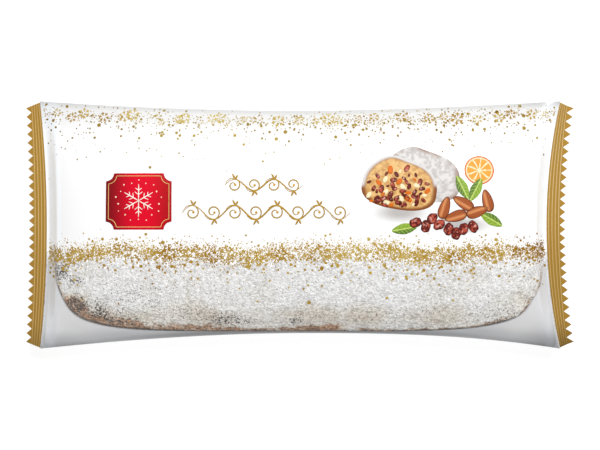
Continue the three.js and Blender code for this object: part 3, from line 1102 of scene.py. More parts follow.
def loaf_material():
    """Crust under sugar that is buttered where it is thin, with dark specks over both, partly painted pit
    shadow.
    """
    material, tree, shader = new_material("sugared_crust", Roughness=0.85, Specular_IOR_Level=0.25)
    amount = attribute(tree, "sugar")
    powder = use_group(tree, powder_group(), Sugar=amount, Speck=attribute(tree, "speck"))
    crust = mix_colour(tree, ramp(tree, noise(tree, 480, 4.0, 0.65), 0.34, 0.66), CRUST_DARK, CRUST_TAN)
    tone = ramp(tree, noise(tree, 560, 3.0, 0.62), 0.3, 0.62)
    dry = mix_colour(tree, tone, SUGAR_SHADE, SUGAR_WHITE)
    buttered = mix_colour(tree, tone, BUTTERED_SHADE, BUTTERED_WHITE)
    sugar = mix_colour(tree, ramp(tree, amount, 0.62, 1.0), buttered, dry)
    skin = mix_colour(tree, powder["Cover"], crust, sugar)
    tree.links.new(mix_colour(tree, powder["Dark"], skin, SPECK_CRUST_AND_SHADE), shader.inputs["Base Color"])
    bump(tree, shader, powder["Grain"], GRAIN_HEIGHT)
    return material


SUGARED = (loaf_material(), "sugared_crust")
print("finish:", SUGARED[0].name, "in", SUGARED[1])

# %% Place the loaf
skin, sugar, speck = loaf_skin()
ends = [[side * (LOAF_HALF_LENGTH + 0.1), 0, LOAF_WAIST] for side in (-1, 1)]
values = {"sugar": np.append(sugar, [0.5, 0.5]), "speck": np.append(speck, [0.3, 0.3])}
skin_points = np.concatenate([skin.reshape(-1, 3), ends])
new_piece("loaf", skin_points, tube_faces(*skin.shape[:2]), SUGARED, **values)

# %% [markdown]
# ## Gold dust
#
# The print's main ornament is gold dust: thousands of small dots that crowd into a wavy band over the edge
# of the window, thin out above and below it, and form a paler band under the upper fold. Here and there
# six-armed frost crystals stand in it, in gold and in white.
#
# Each fleck is a low lens of ink on the film, a ring of points with a middle above and one below. All the
# flecks of a kind are one mesh, computed at once, where an object for each would be slow. Places come from
# seeded random draws that keep a point where a density is higher than a second draw. Ink throws no shadow:
# it lies in the film, and its lift only keeps it in front of it.

# %% Fleck meshes
DUST_LIFT = 0.02
CRYSTAL_LIFT = 0.03
FROST_LIFT = 0.04
GRIT_LIFT = 0.085  # white lies over gold
WHITE_CRYSTAL_LIFT = 0.09
INK_RISE = 0.05
INK_ROOT = -0.5 * FILM
DOT = np.ones(6)
CRYSTAL = np.tile([1.0, 0.22, 0.17, 0.22], 6)


def flecks(name, x, y, radius, turn, profile, tint, finish, lift):
    """Lenses at x, y: ring points at radius times profile, a middle point above and one in the film."""
    count, spokes = len(x), len(profile)
    angle = turn[:, None] + np.arange(spokes)[None, :] * 2 * np.pi / spokes
    reach = radius[:, None] * np.asarray(profile)[None, :]
    ring = on_front(x[:, None] + reach * np.cos(angle), y[:, None] + reach * np.sin(angle), lift)
    above = on_front(x, y, lift + INK_RISE)[:, None]
    below = on_front(x, y, INK_ROOT)[:, None]
    points = np.concatenate([ring, above, below], axis=1)
    here = np.arange(spokes)
    ahead = np.roll(here, -1)
    up = np.stack([here, ahead, np.full(spokes, spokes)], axis=-1)
    down = np.stack([ahead, here, np.full(spokes, spokes + 1)], axis=-1)
    one = np.concatenate([up, down])
    faces = (one[None] + (np.arange(count) * (spokes + 2))[:, None, None]).reshape(-1, 3)
    tints = np.repeat(tint, spokes + 2, axis=0)
    made = new_piece(name, points.reshape(-1, 3), faces, finish, smooth=False, tint=tints)
    made.visible_shadow = False


print("a dot has", len(DOT), "corners, a filled crystal", len(CRYSTAL))


# %% Where the bands lie
def band_middle(x):
    """Y of the middle of the main band: the window's edge plus two slow waves."""
    return WINDOW_EDGE + 0.5 + 1.3 * np.sin(x / 21 + 0.4) + 0.9 * np.sin(x / 9.3 + 2)


def clumps(x, y, size, seed):
    """Two octaves of cloud over plan positions."""
    flat = np.stack([x, y, 0 * x], axis=-1)
    return clouds(flat, size, seed, 2)


def below_fold(x, y):
    """How far a place is below the upper fold."""
    along, _ = place_at(x, y)
    return half_width(along, True) - y


print(f"at x = 0 the main band's middle is at y = {band_middle(0):.1f} mm")


# %% How thick the dust lies
def main_band(x, y):
    """Bell across the band, a little wider below, with gaps and clumps along it."""
    clump = smooth_step(0.30, 0.62, clumps(x, y, 9, 71))
    above = y - band_middle(x)
    return bell(above, np.where(above > 0, 3.8, 4.4)) * (0.62 + 0.66 * clump)


def loose_dust(x, y):
    """Thin dust on both sides of the main band, further down than up."""
    away = y - band_middle(x)
    return 0.85 * np.exp(-np.abs(away) / np.where(away > 0, 6.5, 8.0))


def dust_above(x, y):
    """The finest dust, a bell 4 mm above the main band."""
    away = y - band_middle(x)
    return np.where(away > 0, bell(away - 4.0, 4.2), 0)


def drops_below(x, y):
    """Few, larger dots, a bell 9 mm below the main band."""
    return 0.35 * bell(band_middle(x) - y - 9, 6.0)


def top_band(x, y):
    """Bell under the upper fold, mostly clumps."""
    clump = smooth_step(0.32, 0.66, clumps(x, y, 8, 81))
    return bell(below_fold(x, y) - 8.4, 4.1) * (0.07 + 0.33 * clump)


def top_dust(x, y):
    """Thin dust on both sides of the top band."""
    return 0.75 * np.exp(-np.abs(below_fold(x, y) - 9) / 9.0)


def drops_at_top(x, y):
    """Few, larger dots below the top band."""
    return 0.4 * bell(below_fold(x, y) - 13, 8.0)


print("density at x = 0 in the band:", main_band(np.zeros(1), np.full(1, band_middle(0))).round(2))

# %% Places and tones of the dust
GOLD_DARK = ink(151, 100, 6)
GOLD_PALE = ink(198, 162, 78)
DEEP = np.array([0.86, 0.92, 0.76])  # the main band and its crystals lean this way
OLIVE = np.array([0.87, 1.0, 1.06])  # the finest dust leans this way
PALE_OLIVE = np.array([1.0, 1.22, 1.75])  # and the band at the top this way
LEFT_END, RIGHT_END = -170.0, 170.0
JITTER = 0.45  # of a cell, to each side
INSIDE_ALONG, INSIDE_ACROSS = 0.99, 0.985  # how near the dust may come to the seals and the folds


def scatter(draw, pitch, low_y, high_y, density):
    """One place in each cell of a grid, moved about at random, kept where density beats a random number."""
    cells_x = np.arange(LEFT_END, RIGHT_END, pitch)
    cells_y = np.arange(low_y, high_y, pitch)
    x, y = (part.ravel() for part in np.meshgrid(cells_x, cells_y))
    x = x + draw.uniform(-JITTER, JITTER, len(x)) * pitch
    y = y + draw.uniform(-JITTER, JITTER, len(y)) * pitch
    along, across = place_at(x, y)
    place_x, place_y = pack_xy(along, across)
    on_film = np.hypot(place_x - x, place_y - y) < 0.01
    inside = on_film & (np.abs(along) < INSIDE_ALONG) & (np.abs(across) < INSIDE_ACROSS)
    kept = inside & (density(x, y) > draw.uniform(0, 1, len(x)))
    return x[kept], y[kept]


def gold_tint(draw, x, y, strength):
    """Tone of each fleck: slow changes along the pack, and a little of its own, times strength."""
    slow = clumps(x, y, 60, 91) + 0.5 * (clumps(x, y, 14, 93) - 0.5)
    own = draw.uniform(0, 1, (len(x), 1))
    tone = mix(GOLD_DARK, GOLD_PALE, np.clip(1.6 * slow[:, None] - 0.4 + 0.5 * (own - 0.5), 0, 1))
    return strength * tone


print("gold dust from", GOLD_DARK.round(2), "to", GOLD_PALE.round(2))

# %% Dust
SMALLEST, LARGEST = 0.22, 1.35
# Piece, seed, millimetres to a cell, lowest and highest y, density, middle radius, its spread, strength
DUST = [
    ("gold_dust_band", 1, 0.92, -36, -4, main_band, 0.5, 0.22, DEEP),
    ("gold_dust_loose", 2, 2.3, -50, -5, loose_dust, 0.5, 0.36, 0.93 * OLIVE),
    ("gold_dust_above", 11, 1.15, -20, 0, dust_above, 0.3, 0.25, OLIVE),
    ("gold_dust_top", 3, 0.95, 50, 80, top_band, 0.36, 0.25, 0.86 * PALE_OLIVE),
    ("gold_dust_top_loose", 4, 2.3, 30, 80, top_dust, 0.45, 0.36, 0.6 * PALE_OLIVE),
    ("gold_drops", 9, 4.6, -50, -20, drops_below, 0.95, 0.2, 0.92 * DEEP),
    ("gold_drops_top", 10, 5.0, 36, 76, drops_at_top, 0.9, 0.2, 0.8 * OLIVE),
]

for name, seed, pitch, low_y, high_y, density, middle_radius, spread, strength in DUST:
    draw = np.random.default_rng(seed)
    x, y = scatter(draw, pitch, low_y, high_y, density)
    radius = np.clip(draw.lognormal(math.log(middle_radius), spread, len(x)), SMALLEST, LARGEST)
    turn = draw.uniform(0, np.pi, len(x))
    flecks(name, x, y, radius, turn, DOT, gold_tint(draw, x, y, strength), GOLD, DUST_LIFT)

# %% Filled crystals
PRINT_WHITE = ink(241, 241, 240)
CRYSTAL_MARGINS = (9, 14)  # from the ends of the film, left and right
TOP_LINE = 7.8  # from the upper fold to the line of its crystals


def band_foot(x):
    """A line a little below the middle of the main band."""
    return band_middle(x) - 1.5


def top_middle(x):
    """A line a little below the upper fold."""
    return half_width(x / LEFT_SEAL["inner"][0], True) - TOP_LINE


def crystals(name, seed, count, middle, spread, low, high, lift, strength=None):
    """Crystals about a line across the pack, with low and high as their least and greatest reach: gold
    with a strength, white without."""
    draw = np.random.default_rng(seed)
    left, right = CRYSTAL_MARGINS
    x = np.linspace(LEFT_END + left, RIGHT_END - right, count) + draw.uniform(-3, 3, count)
    y = middle(x) + draw.normal(0, spread, count)
    radius = draw.uniform(low, high, count)
    turn = draw.uniform(0, np.pi / 3, count)
    white = strength is None
    tint = same_tone(PRINT_WHITE, count) if white else gold_tint(draw, x, y, strength)
    flecks(name, x, y, radius, turn, CRYSTAL, tint, COLOUR if white else GOLD, lift)


crystals("gold_crystals", 5, 110, band_middle, 2.6, 1.6, 3.4, CRYSTAL_LIFT, 0.95 * DEEP)
crystals("gold_crystals_top", 8, 24, top_middle, 1.5, 1.4, 2.4, CRYSTAL_LIFT, 0.8 * PALE_OLIVE)
crystals("white_crystals", 6, 90, band_foot, 2.2, 1.2, 2.8, WHITE_CRYSTAL_LIFT)

# %% [markdown]
# ## Open frost crystals
#
# Larger crystals with open arms stand among the dust, finer than the filled ones. Each arm is a long thin
# lens, and two short ones lean from it as twigs, so a crystal is 18 lenses. It could be one outline with
# many corners, but lenses reuse the fleck's function and need no care where they cross.

# %% Large open frost crystals
SLIVER = (1.0, 0.29, 0.29, 1.0, 0.29, 0.29)
TWIG = (1.0, 0.42, 0.42, 1.0, 0.42, 0.42)
FROST_PITCH = 11.0
FROST_MARGIN = 7.0  # from the middle of a crystal to the seal
# Part, where it leaves the arm and half its length as shares of the reach, its lean in degrees, its profile
FROST_PARTS = [
    ("arms", 0.16, 0.42, 0, SLIVER),
    ("left_twigs", 0.52, 0.18, 55, TWIG),
    ("right_twigs", 0.52, 0.18, -55, TWIG),
]


def open_frost(name, seed, middle, spread, low, high, strength):
    """One open crystal a pitch: each arm is a long thin lens with a pair of short ones on it."""
    draw = np.random.default_rng(seed)
    x = np.arange(LEFT_END + 11, RIGHT_END - 6, FROST_PITCH)
    x = x + draw.uniform(-4.5, 4.5, len(x))
    y = middle(x) + draw.normal(0, spread, len(x))
    x = np.minimum(x, seal_line(RIGHT_SEAL, "inner", y / SEAL_HALF_WIDTH) - FROST_MARGIN)
    reach, turn = draw.uniform(low, high, len(x)), draw.uniform(0, np.pi / 3, len(x))
    tints = np.repeat(gold_tint(draw, x, y, strength), 6, axis=0)
    arm = turn[:, None] + np.arange(6)[None, :] * np.pi / 3
    for part, start, half, lean, profile in FROST_PARTS:
        heading = arm + np.radians(lean)
        at_x = x[:, None] + reach[:, None] * (start * np.cos(arm) + half * np.cos(heading))
        at_y = y[:, None] + reach[:, None] * (start * np.sin(arm) + half * np.sin(heading))
        places = (at_x.ravel(), at_y.ravel(), np.repeat(half * reach, 6), heading.ravel())
        flecks(f"{name}_{part}", *places, profile, tints, GOLD, FROST_LIFT)


open_frost("gold_frost", 15, band_middle, 1.2, 4.0, 6.2, 0.88 * DEEP)
open_frost("gold_frost_top", 16, top_middle, 1.2, 2.6, 5.2, 0.96 * PALE_OLIVE)

# %% [markdown]
# ## White dots
#
# The white print doesn't end in a line: it breaks up into dots over the clear film, as a printer's screen
# does. White dots also lie over the gold, so that the band sparkles. They are flecks as well.


# %% White dots
def white_fade(x, y):
    """Full at the edge of the white print, gone about eight millimetres below it."""
    below = below_print(x, y)
    return np.where(below > -1, 0.85 * np.exp(-np.maximum(below, 0) / 3.0), 0)


def white_grit(x, y):
    """White gaps all over the main band."""
    return 0.2 * bell(y - band_middle(x), 5.0)


def white_dots(name, seed, pitch, density, low, high, lift):
    """Dots of one white, with low and high as their least and greatest radius."""
    draw = np.random.default_rng(seed)
    x, y = scatter(draw, pitch, -38, -8, density)
    radius, turn = draw.uniform(low, high, len(x)), draw.uniform(0, 1, len(x))
    flecks(name, x, y, radius, turn, DOT, same_tone(PRINT_WHITE, len(x)), COLOUR, lift)


white_dots("white_dots", 7, 1.3, white_fade, 0.35, 0.75, 0.0)
white_dots("white_grit", 13, 1.2, white_grit, 0.25, 0.5, GRIT_LIFT)

# %% [markdown]
# ## Flat fields of ink
#
# The rest of the print is made of fields and lines. A field is an outline drawn in towards its middle in
# rings, laid over the film as a very thin closed slab, and coloured point by point, so one field can shade
# from light to dark. A line is a thin tube of ink whose width swells and tapers as a pen stroke does. An
# image on the film would be quicker, but this way the print has true edges at any distance.


# %% Fields
def disc_faces(rings, spokes):
    """A disc of rings around a middle point, its copy below, and the rim between them."""
    count = 1 + rings * spokes
    ring = 1 + np.arange(rings * spokes).reshape(rings, spokes)
    turned = np.roll(ring, -1, axis=1)
    fan = np.stack([np.zeros(spokes, int), ring[0], turned[0]], axis=-1)
    quads = np.stack([ring[:-1], ring[1:], turned[1:], turned[:-1]], axis=-1).reshape(-1, 4)
    rim = np.stack([ring[-1], ring[-1] + count, turned[-1] + count, turned[-1]], axis=-1)
    return [np.concatenate([fan, fan[:, ::-1] + count]), np.concatenate([quads, quads[:, ::-1] + count, rim])]


def field(outline, rings, lift, colour, sink=0.0):
    """Points, faces and tints of one field; colour takes x, y and the share of the way to the outline.
    With sink over 1 the field goes under the film's face before its outline, so that it has no visible rim.
    """
    middle = outline.mean(axis=0)
    share = np.linspace(0, 1, rings + 1)[1:]
    flat = middle + (outline - middle)[None] * share[:, None, None]
    flat = np.concatenate([middle[None], flat.reshape(-1, 2)])
    share = np.concatenate([[0], np.repeat(share, len(outline))])
    x, y = flat[:, 0], flat[:, 1]
    points = np.concatenate([on_front(x, y, lift * (1 - sink * share)), on_front(x, y, INK_ROOT)])
    return points, disc_faces(rings, len(outline)), np.tile(colour(x, y, share), (2, 1))


def join_fields(name, fields, finish):
    """Puts several fields or lines into one mesh."""
    starts = np.cumsum([0] + [len(part[0]) for part in fields])[:-1]
    kinds = range(len(fields[0][1]))
    faces = [np.concatenate([part[1][kind] + start for part, start in zip(fields, starts)]) for kind in kinds]
    points = np.concatenate([part[0] for part in fields])
    new_piece(name, points, faces, finish, tint=np.concatenate([part[2] for part in fields]))


def turn_and_place(shape, turn, x, y):
    """Turns an outline by degrees and moves it to x, y."""
    c, s = math.cos(math.radians(turn)), math.sin(math.radians(turn))
    return shape @ np.array([[c, s], [-s, c]]) + np.array([x, y])


print("a field of 2 rings of 6 points has", sum(len(part) for part in disc_faces(2, 6)), "faces")


# %% Lines
def heading(turn):
    """The direction of an angle, as a step of length 1."""
    return np.array([math.cos(turn), math.sin(turn)])


def stroke(path, width, lift, tone):
    """A tube of ink along a path: left, upper, right and lower points, closed by a cap at each end."""
    ahead = np.gradient(path, axis=0)
    ahead /= np.linalg.norm(ahead, axis=1, keepdims=True)
    side = np.stack([-ahead[:, 1], ahead[:, 0]], axis=1) * width[:, None] / 2
    rows = ((path + side, lift), (path, lift + INK_RISE), (path - side, lift), (path, INK_ROOT))
    points = np.stack([on_front(row[:, 0], row[:, 1], rise) for row, rise in rows], axis=1).reshape(-1, 3)
    at = np.arange(len(path) * 4).reshape(-1, 4)
    turned = np.roll(at, -1, axis=1)
    quads = np.stack([at[:-1], turned[:-1], turned[1:], at[1:]], axis=-1).reshape(-1, 4)
    caps = np.stack([at[0][::-1], at[-1]])
    return points, [np.concatenate([quads, caps])], same_tone(tone, 4 * len(path))


def pen_width(steps, thick, thin):
    """Width that swells from thin to thick and back, as a sine to a power."""
    return thin + (thick - thin) * np.sin(np.linspace(0, np.pi, steps)) ** 0.8


print("widths of a short pen stroke:", pen_width(5, 1.0, 0.2).round(2))

# %% [markdown]
# ## Red label
#
# A plain label with scooped corners, shaded from deep red at the sides to bright red in the middle, with a
# gold rule inside its edge and a frost crystal. It stands where a pack like this carries its maker's sign,
# and says nothing. Its outline is worked out on rays from its middle, which gives the rings even spokes.

# %% Red label
LABEL_AT = np.array([-102.8, 15.0])
LABEL_HALF = np.array([21.0, 18.0])
SCOOP = 5.0
RULE_INSET, RULE_WIDTH = 1.7, 0.45
RED_MIDDLE = ink(206, 0, 34)
RED_LEFT = ink(116, 10, 18)
RED_RIGHT = ink(164, 12, 20)
FIELD_LIFT, RULE_LIFT = 0.03, 0.05


def scooped_outline(half, scoop, spokes=240):
    """Rectangle with a quarter circle taken out of each corner: the nearer of edge and circle on each ray."""
    angle = np.arange(spokes) * 2 * np.pi / spokes
    ray = np.stack([np.cos(angle), np.sin(angle)], axis=-1)
    edge = np.min(half / np.maximum(np.abs(ray), 1e-6), axis=-1)
    along_ray = np.abs(ray) @ half
    inside = along_ray**2 - (half @ half - scoop**2)
    circle = np.where(inside > 0, along_ray - np.sqrt(np.maximum(inside, 0)), edge)
    return ray * np.minimum(edge, circle)[:, None] + LABEL_AT


def label_red(x, y, share):
    """Bright in the middle, deeper towards the left and the right side."""
    place = (x - LABEL_AT[0]) / LABEL_HALF[0]
    left = blend(RED_MIDDLE, RED_LEFT, smooth_step(0.05, 1, -place))
    return blend(left, RED_RIGHT, smooth_step(0.25, 1, place))


label = field(scooped_outline(LABEL_HALF, SCOOP), 16, FIELD_LIFT, label_red)
join_fields("red_label", [label], COLOUR)

rule = scooped_outline(LABEL_HALF - RULE_INSET, SCOOP)
rule = np.concatenate([rule, rule[:2]])
rule_ink = stroke(rule, np.full(len(rule), RULE_WIDTH), RULE_LIFT, ink(226, 190, 120))
join_fields("label_rule", [rule_ink], GOLD)

# %% The label's crystal and dots
LABEL_MIDDLE = LABEL_AT + [0, 0.5]
CRYSTAL_REACH = 10.5
TWIGS = ((0.36, 0.30), (0.62, 0.24))  # where a pair leaves its arm and how long it is, as shares of the reach
TWIG_LEAN = math.radians(52)
LABEL_DOTS = 18


def woven_crystal(middle, reach, lift, tone):
    """Six arms, each with two pairs of leaning side arms: the traditional woven snow crystal."""
    parts = []
    steps = np.linspace(0, 1, 12)[:, None]
    for arm in range(6):
        angle = math.radians(30 + 60 * arm)
        parts.append(stroke(middle + heading(angle) * steps * reach, pen_width(12, 0.75, 0.35), lift, tone))
        for start, length in TWIGS:
            for side in (-1, 1):
                tip = heading(angle + side * TWIG_LEAN) * length * reach
                path = middle + heading(angle) * start * reach + tip * steps
                parts.append(stroke(path, pen_width(12, 0.55, 0.25), lift + 0.01, tone))
    return parts


crystal = woven_crystal(LABEL_MIDDLE, CRYSTAL_REACH, 0.06, ink(250, 244, 232))
join_fields("label_crystal", crystal, COLOUR)

draw = np.random.default_rng(12)
turn = np.arange(LABEL_DOTS) * 2 * np.pi / LABEL_DOTS + 0.17
reach = np.where(np.arange(LABEL_DOTS) % 2 == 0, 13.2, 11.8)
x, y = LABEL_AT[0] + reach * 1.12 * np.cos(turn), LABEL_AT[1] + 0.5 + reach * np.sin(turn)
radius = draw.uniform(0.35, 0.6, LABEL_DOTS)
flecks("label_dots", x, y, radius, turn, DOT, same_tone(ink(244, 214, 190), LABEL_DOTS), COLOUR, 0.05)

# %% [markdown]
# ## Gold scrolls
#
# Between the label and the picture run two lines of vine scroll, a common ornament: a wavy stem, a tendril
# that curls into the hollow of each wave, and small leaves and berries. Curves drawn by hand would do, but
# a sine and a shrinking circle keep every wave alike.

# %% Gold scrolls
SCROLL_WIDTH = 1.1
SCROLL_GOLD = mix(ink(170, 130, 34), GOLD_PALE, 0.35)
CURL_SIZE = 0.21  # of a wave's length
CURL_TURNS = 1.45
CURL_SHRINK = 0.82
LEAVES = ((118, 4.2), (62, 3.4))  # lean in degrees and length


def vine(left, right, middle_y, waves, rise):
    """Stem y = rise * sin(waves turns); from each crossing a tendril curls in a shrinking circle."""
    length = (right - left) / waves
    x = np.linspace(left, right, 60 * waves)
    stem = np.stack([x, middle_y + rise * np.sin((x - left) / length * 2 * np.pi)], axis=-1)
    parts = [stroke(stem, pen_width(len(stem), SCROLL_WIDTH, 0.25), 0.03, SCROLL_GOLD)]
    berries = []
    curl = np.linspace(0, 1, 60)
    radius = CURL_SIZE * length * (1 - CURL_SHRINK * curl)
    angle = np.pi - 2 * np.pi * CURL_TURNS * curl
    for half_wave in range(2 * waves):
        up = 1 if half_wave % 2 == 0 else -1
        start_x = left + (half_wave + 0.04) * length / 2
        middle = np.array([start_x + CURL_SIZE * length, middle_y - 0.05 * up * rise])
        path = middle + np.stack([radius * np.cos(angle), up * radius * np.sin(angle)], axis=-1)
        parts.append(stroke(path, pen_width(60, 0.8 * SCROLL_WIDTH, 0.2), 0.04, SCROLL_GOLD))
        berries.append(path[-1])
        root = np.array([start_x + 0.25 * length, middle_y + 1.0 * up * rise])
        for lean, reach in LEAVES:
            leaf = np.linspace(0, 1, 14)[:, None] * heading(math.radians(up * lean)) * reach
            parts.append(stroke(root + leaf, pen_width(14, 1.25, 0.15), 0.05, SCROLL_GOLD))
    return parts, np.array(berries)


lower_vine, lower_berries = vine(-75, 32, 8.0, 4, 4.4)
upper_vine, upper_berries = vine(-48, 2, 25.5, 2, 3.6)
join_fields("gold_scrolls", lower_vine + upper_vine, GOLD)

berries = np.concatenate([lower_berries, upper_berries])
count = len(berries)
gold = same_tone(SCROLL_GOLD, count)
flecks("gold_berries", *berries.T, np.full(count, 0.85), np.zeros(count), np.ones(10), gold, GOLD, 0.04)

# %% [markdown]
# ## Picture of the loaf and what is in it
#
# The right half of the print shows what the loaf is made of: a cut stollen, almonds, raisins, a slice of
# candied orange and some leaves. Each is a few fields whose colour is worked out from the place in it: a
# crust is the outermost share, a highlight is a spot, and an almond's skin has fine long streaks. Real
# little models could stand there, but a picture on film is flat.


# %% Outlines of the picture
def oval(half_x, half_y, power=2.0, point=0.0, spokes=72):
    """Superellipse outline; point narrows its +X end into a tip."""
    turn = np.arange(spokes) * 2 * np.pi / spokes
    c, s = np.cos(turn), np.sin(turn)
    x = half_x * signed_power(c, 2 / power)
    y = half_y * signed_power(s, 2 / power) * (1 - point * (1 + c) / 2)
    return np.stack([x, y], axis=-1)


def loaf_outline(half_x, half_y):
    """Cut face of a stollen: round above, nearly flat below, with a hump to one side."""
    shape = oval(half_x, half_y, 2.5, spokes=180)
    hump = 1 + 0.14 * bell(shape[:, 0] / half_x + 0.35, 0.4)
    shape[:, 1] = np.where(shape[:, 1] > 0, shape[:, 1] * hump, 0.62 * shape[:, 1])
    return shape


def own_axes(x, y, middle, turn):
    """Distances from a thing's middle along it and across it."""
    c, s = math.cos(math.radians(turn)), math.sin(math.radians(turn))
    return (x - middle[0]) * c + (y - middle[1]) * s, -(x - middle[0]) * s + (y - middle[1]) * c


print("an oval has", len(oval(1, 1)), "corners, a cut loaf", len(loaf_outline(1, 1)))

# %% Colours of the cut loaf
FACE_AT = np.array([63.0, 22.0])
CRUMB = ink(216, 176, 114)
CRUMB_DEEP = ink(190, 142, 82)
CRUST = ink(128, 72, 30)
SUGAR_CAP = ink(208, 205, 203)
SUGAR_CAP_SHADE = ink(170, 165, 162)
SHADOW = ink(176, 172, 170)


def soft_shadow(x, y, share):
    """Grey that has turned into the film's white where the field sinks into the film."""
    return blend(SHADOW, WHITE_FILM, smooth_step(0.1, 0.66, share))


def cut_face(x, y, share):
    """Crumb with deeper clouds and pores, a crust as its outermost share, and sugar on its upper half."""
    crumb = blend(CRUMB, CRUMB_DEEP, smooth_step(0.35, 0.75, clumps(x, y, 2.2, 101)))
    crumb = blend(crumb, CRUMB_DEEP * 0.75, 0.55 * smooth_step(0.58, 0.70, clumps(x, y, 1.2, 111)))
    crust = blend(crumb, CRUST, smooth_step(0.84, 0.95, share))
    upper = smooth_step(FACE_AT[1] + 1, FACE_AT[1] + 5, y)
    return blend(crust, SUGAR_CAP, smooth_step(0.88, 0.97, share) * upper)


def sugared_side(x, y, share):
    """Sugar in two greys, with crust showing in clouds near the outline."""
    side = blend(SUGAR_CAP, SUGAR_CAP_SHADE, 0.75 * smooth_step(0.3, 0.7, clumps(x, y, 1.6, 103)))
    low = smooth_step(0.80, 1.0, share) * smooth_step(0, 0.5, clumps(x, y, 6, 105) - 0.25)
    return blend(side, mix(CRUST, SUGAR_CAP_SHADE, 0.45), low)


print("crumb of the cut loaf from", CRUMB.round(2), "to", CRUMB_DEEP.round(2))

# %% Colours of the fruit
RAISIN = ink(92, 26, 20)
RAISIN_LIGHT = ink(172, 74, 56)
RAISIN_SHINE = ink(214, 160, 146)
CANDIED_LEMON = ink(230, 214, 176)
ORANGE_AT = (114.5, 35.0)
ORANGE_PEEL = ink(204, 100, 12)
ORANGE_FLESH = ink(224, 158, 52)
ORANGE_WALL = ink(236, 224, 190)


def plain(tone):
    """One colour all over."""
    return lambda x, y, share: same_tone(tone, len(x))


def raisin_skin(x, y, share):
    """Dark, with lighter folds, small shiny places inside and a darker outline."""
    fold = smooth_step(0.42, 0.68, clumps(x, y, 1.3, 107))
    shine = smooth_step(0.62, 0.76, clumps(x, y, 1.1, 113)) * (1 - smooth_step(0.55, 0.85, share))
    skin = blend(blend(RAISIN, RAISIN_LIGHT, fold), RAISIN_SHINE, 0.8 * shine)
    return blend(skin, RAISIN * 0.6, smooth_step(0.7, 1, share))


def orange_slice(x, y, share):
    """Flesh in nine parts between pale walls, with the peel as its outermost share."""
    angle = np.arctan2(y - ORANGE_AT[1], x - ORANGE_AT[0])
    wall = np.abs(np.sin(angle * 4.5)) < 0.16 + 0.10 / np.maximum(share, 0.1)
    flesh = blend(ORANGE_FLESH, ORANGE_PEEL, 0.35 * clumps(x, y, 1.5, 109))
    flesh = blend(flesh, ORANGE_WALL, (wall | (share > 0.80)) * 0.9)
    return blend(flesh, ORANGE_PEEL, smooth_step(0.88, 0.94, share))


print("raisin from", RAISIN.round(2), "to", RAISIN_LIGHT.round(2))

# %% Colours of almonds and leaves
ALMOND = ink(166, 88, 44)
ALMOND_DARK = ink(100, 46, 20)
ALMOND_LIGHT = ink(214, 144, 92)
LEAF = ink(126, 158, 48)
LEAF_DARK = ink(78, 110, 40)
LEAF_LIGHT = ink(188, 208, 110)


def almond_skin(middle, turn):
    """Fine sine streaks along the almond, one bright line and a darker outline."""

    def colour(x, y, share):
        """The almond's tint at each point."""
        _, across = own_axes(x, y, middle, turn)
        streak = 0.5 + 0.5 * np.sin(across * 5.2 + 0.8 * np.sin(x * 1.3))
        skin = blend(blend(ALMOND, ALMOND_DARK, 0.55 * streak), ALMOND_LIGHT, 0.8 * bell(across - 0.9, 0.9))
        return blend(skin, ALMOND_DARK, smooth_step(0.75, 1, share))

    return colour


def leaf_skin(middle, turn):
    """A dark and a light half, a pale middle vein and pale side veins that lean from it."""

    def colour(x, y, share):
        """The leaf's tint at each point."""
        along, across = own_axes(x, y, middle, turn)
        vein = bell(across, 0.35) + 0.5 * (np.sin(along * 2.6 + np.abs(across) * 2.2) > 0.8)
        blade = blend(LEAF, LEAF_DARK, smooth_step(-2.5, 2.5, across))
        return blend(blade, LEAF_LIGHT, np.clip(vein, 0, 1))

    return colour


print("almond", ALMOND.round(2), "and leaf", LEAF.round(2))

# %% Cut loaf
BACK_AT = np.array([77.0, 27.5])
LOAF_TURN = -9
loaf_face = turn_and_place(loaf_outline(24, 19.5), LOAF_TURN, *FACE_AT)
loaf_back = turn_and_place(loaf_outline(25, 19.5), LOAF_TURN, *BACK_AT)
picture_loaf = [
    field(oval(34, 13) + [64, 8], 24, 0.03, soft_shadow, 1.5),
    field(oval(36, 11) + [103, 0], 24, 0.03, soft_shadow, 1.5),
    field(loaf_back, 30, 0.045, sugared_side),
    field(loaf_face, 34, 0.065, cut_face),
]
join_fields("picture_loaf", picture_loaf, COLOUR)

# %% Fruit in the cut face
FRUITS = 60
GOLDEN_ANGLE = 2.39996  # radians; steps of it spread places evenly over a disc
LEMON, PEEL = plain(CANDIED_LEMON), plain(ORANGE_PEEL)
FRUIT_TONES = (raisin_skin, raisin_skin, plain(RAISIN), LEMON, raisin_skin, PEEL)
draw = np.random.default_rng(21)
fruit = []
for number in range(FRUITS):
    reach = math.sqrt((number + 0.6) / FRUITS) * 0.84
    angle = number * GOLDEN_ANGLE + 0.3
    drop = 18.5 if math.sin(angle) > 0 else 11.5
    at = FACE_AT + [24 * reach * math.cos(angle), drop * reach * math.sin(angle) - 1]
    at = at + draw.uniform(-0.9, 0.9, 2)
    size = draw.uniform(0.9, 2.1)
    shape = turn_and_place(oval(size * 1.3, size * 0.8, 2.2), draw.uniform(0, 180), *at)
    fruit.append(field(shape[::4], 3, 0.085, FRUIT_TONES[number % len(FRUIT_TONES)]))
join_fields("picture_fruit", fruit, COLOUR)

# %% Almonds, raisins, orange and leaves
ALMONDS = ((104, 14, 150), (113, 8.5, 18), (99, 5.5, 196), (92, 11, 72), (119.5, 15.5, 104))  # x, y, turn
LEAF_PLACES = ((112, 22.5, 62), (103.5, 24, 116), (122, 3.5, -30), (66.5, -2.4, 190))
RAISINS = ((84, 4), (88.5, 0.2), (80, -0.8), (104, -2.6), (110.2, -1.0), (94.5, -2.6))
RAISINS += ((73.5, 1.5), (99.4, -5.4))


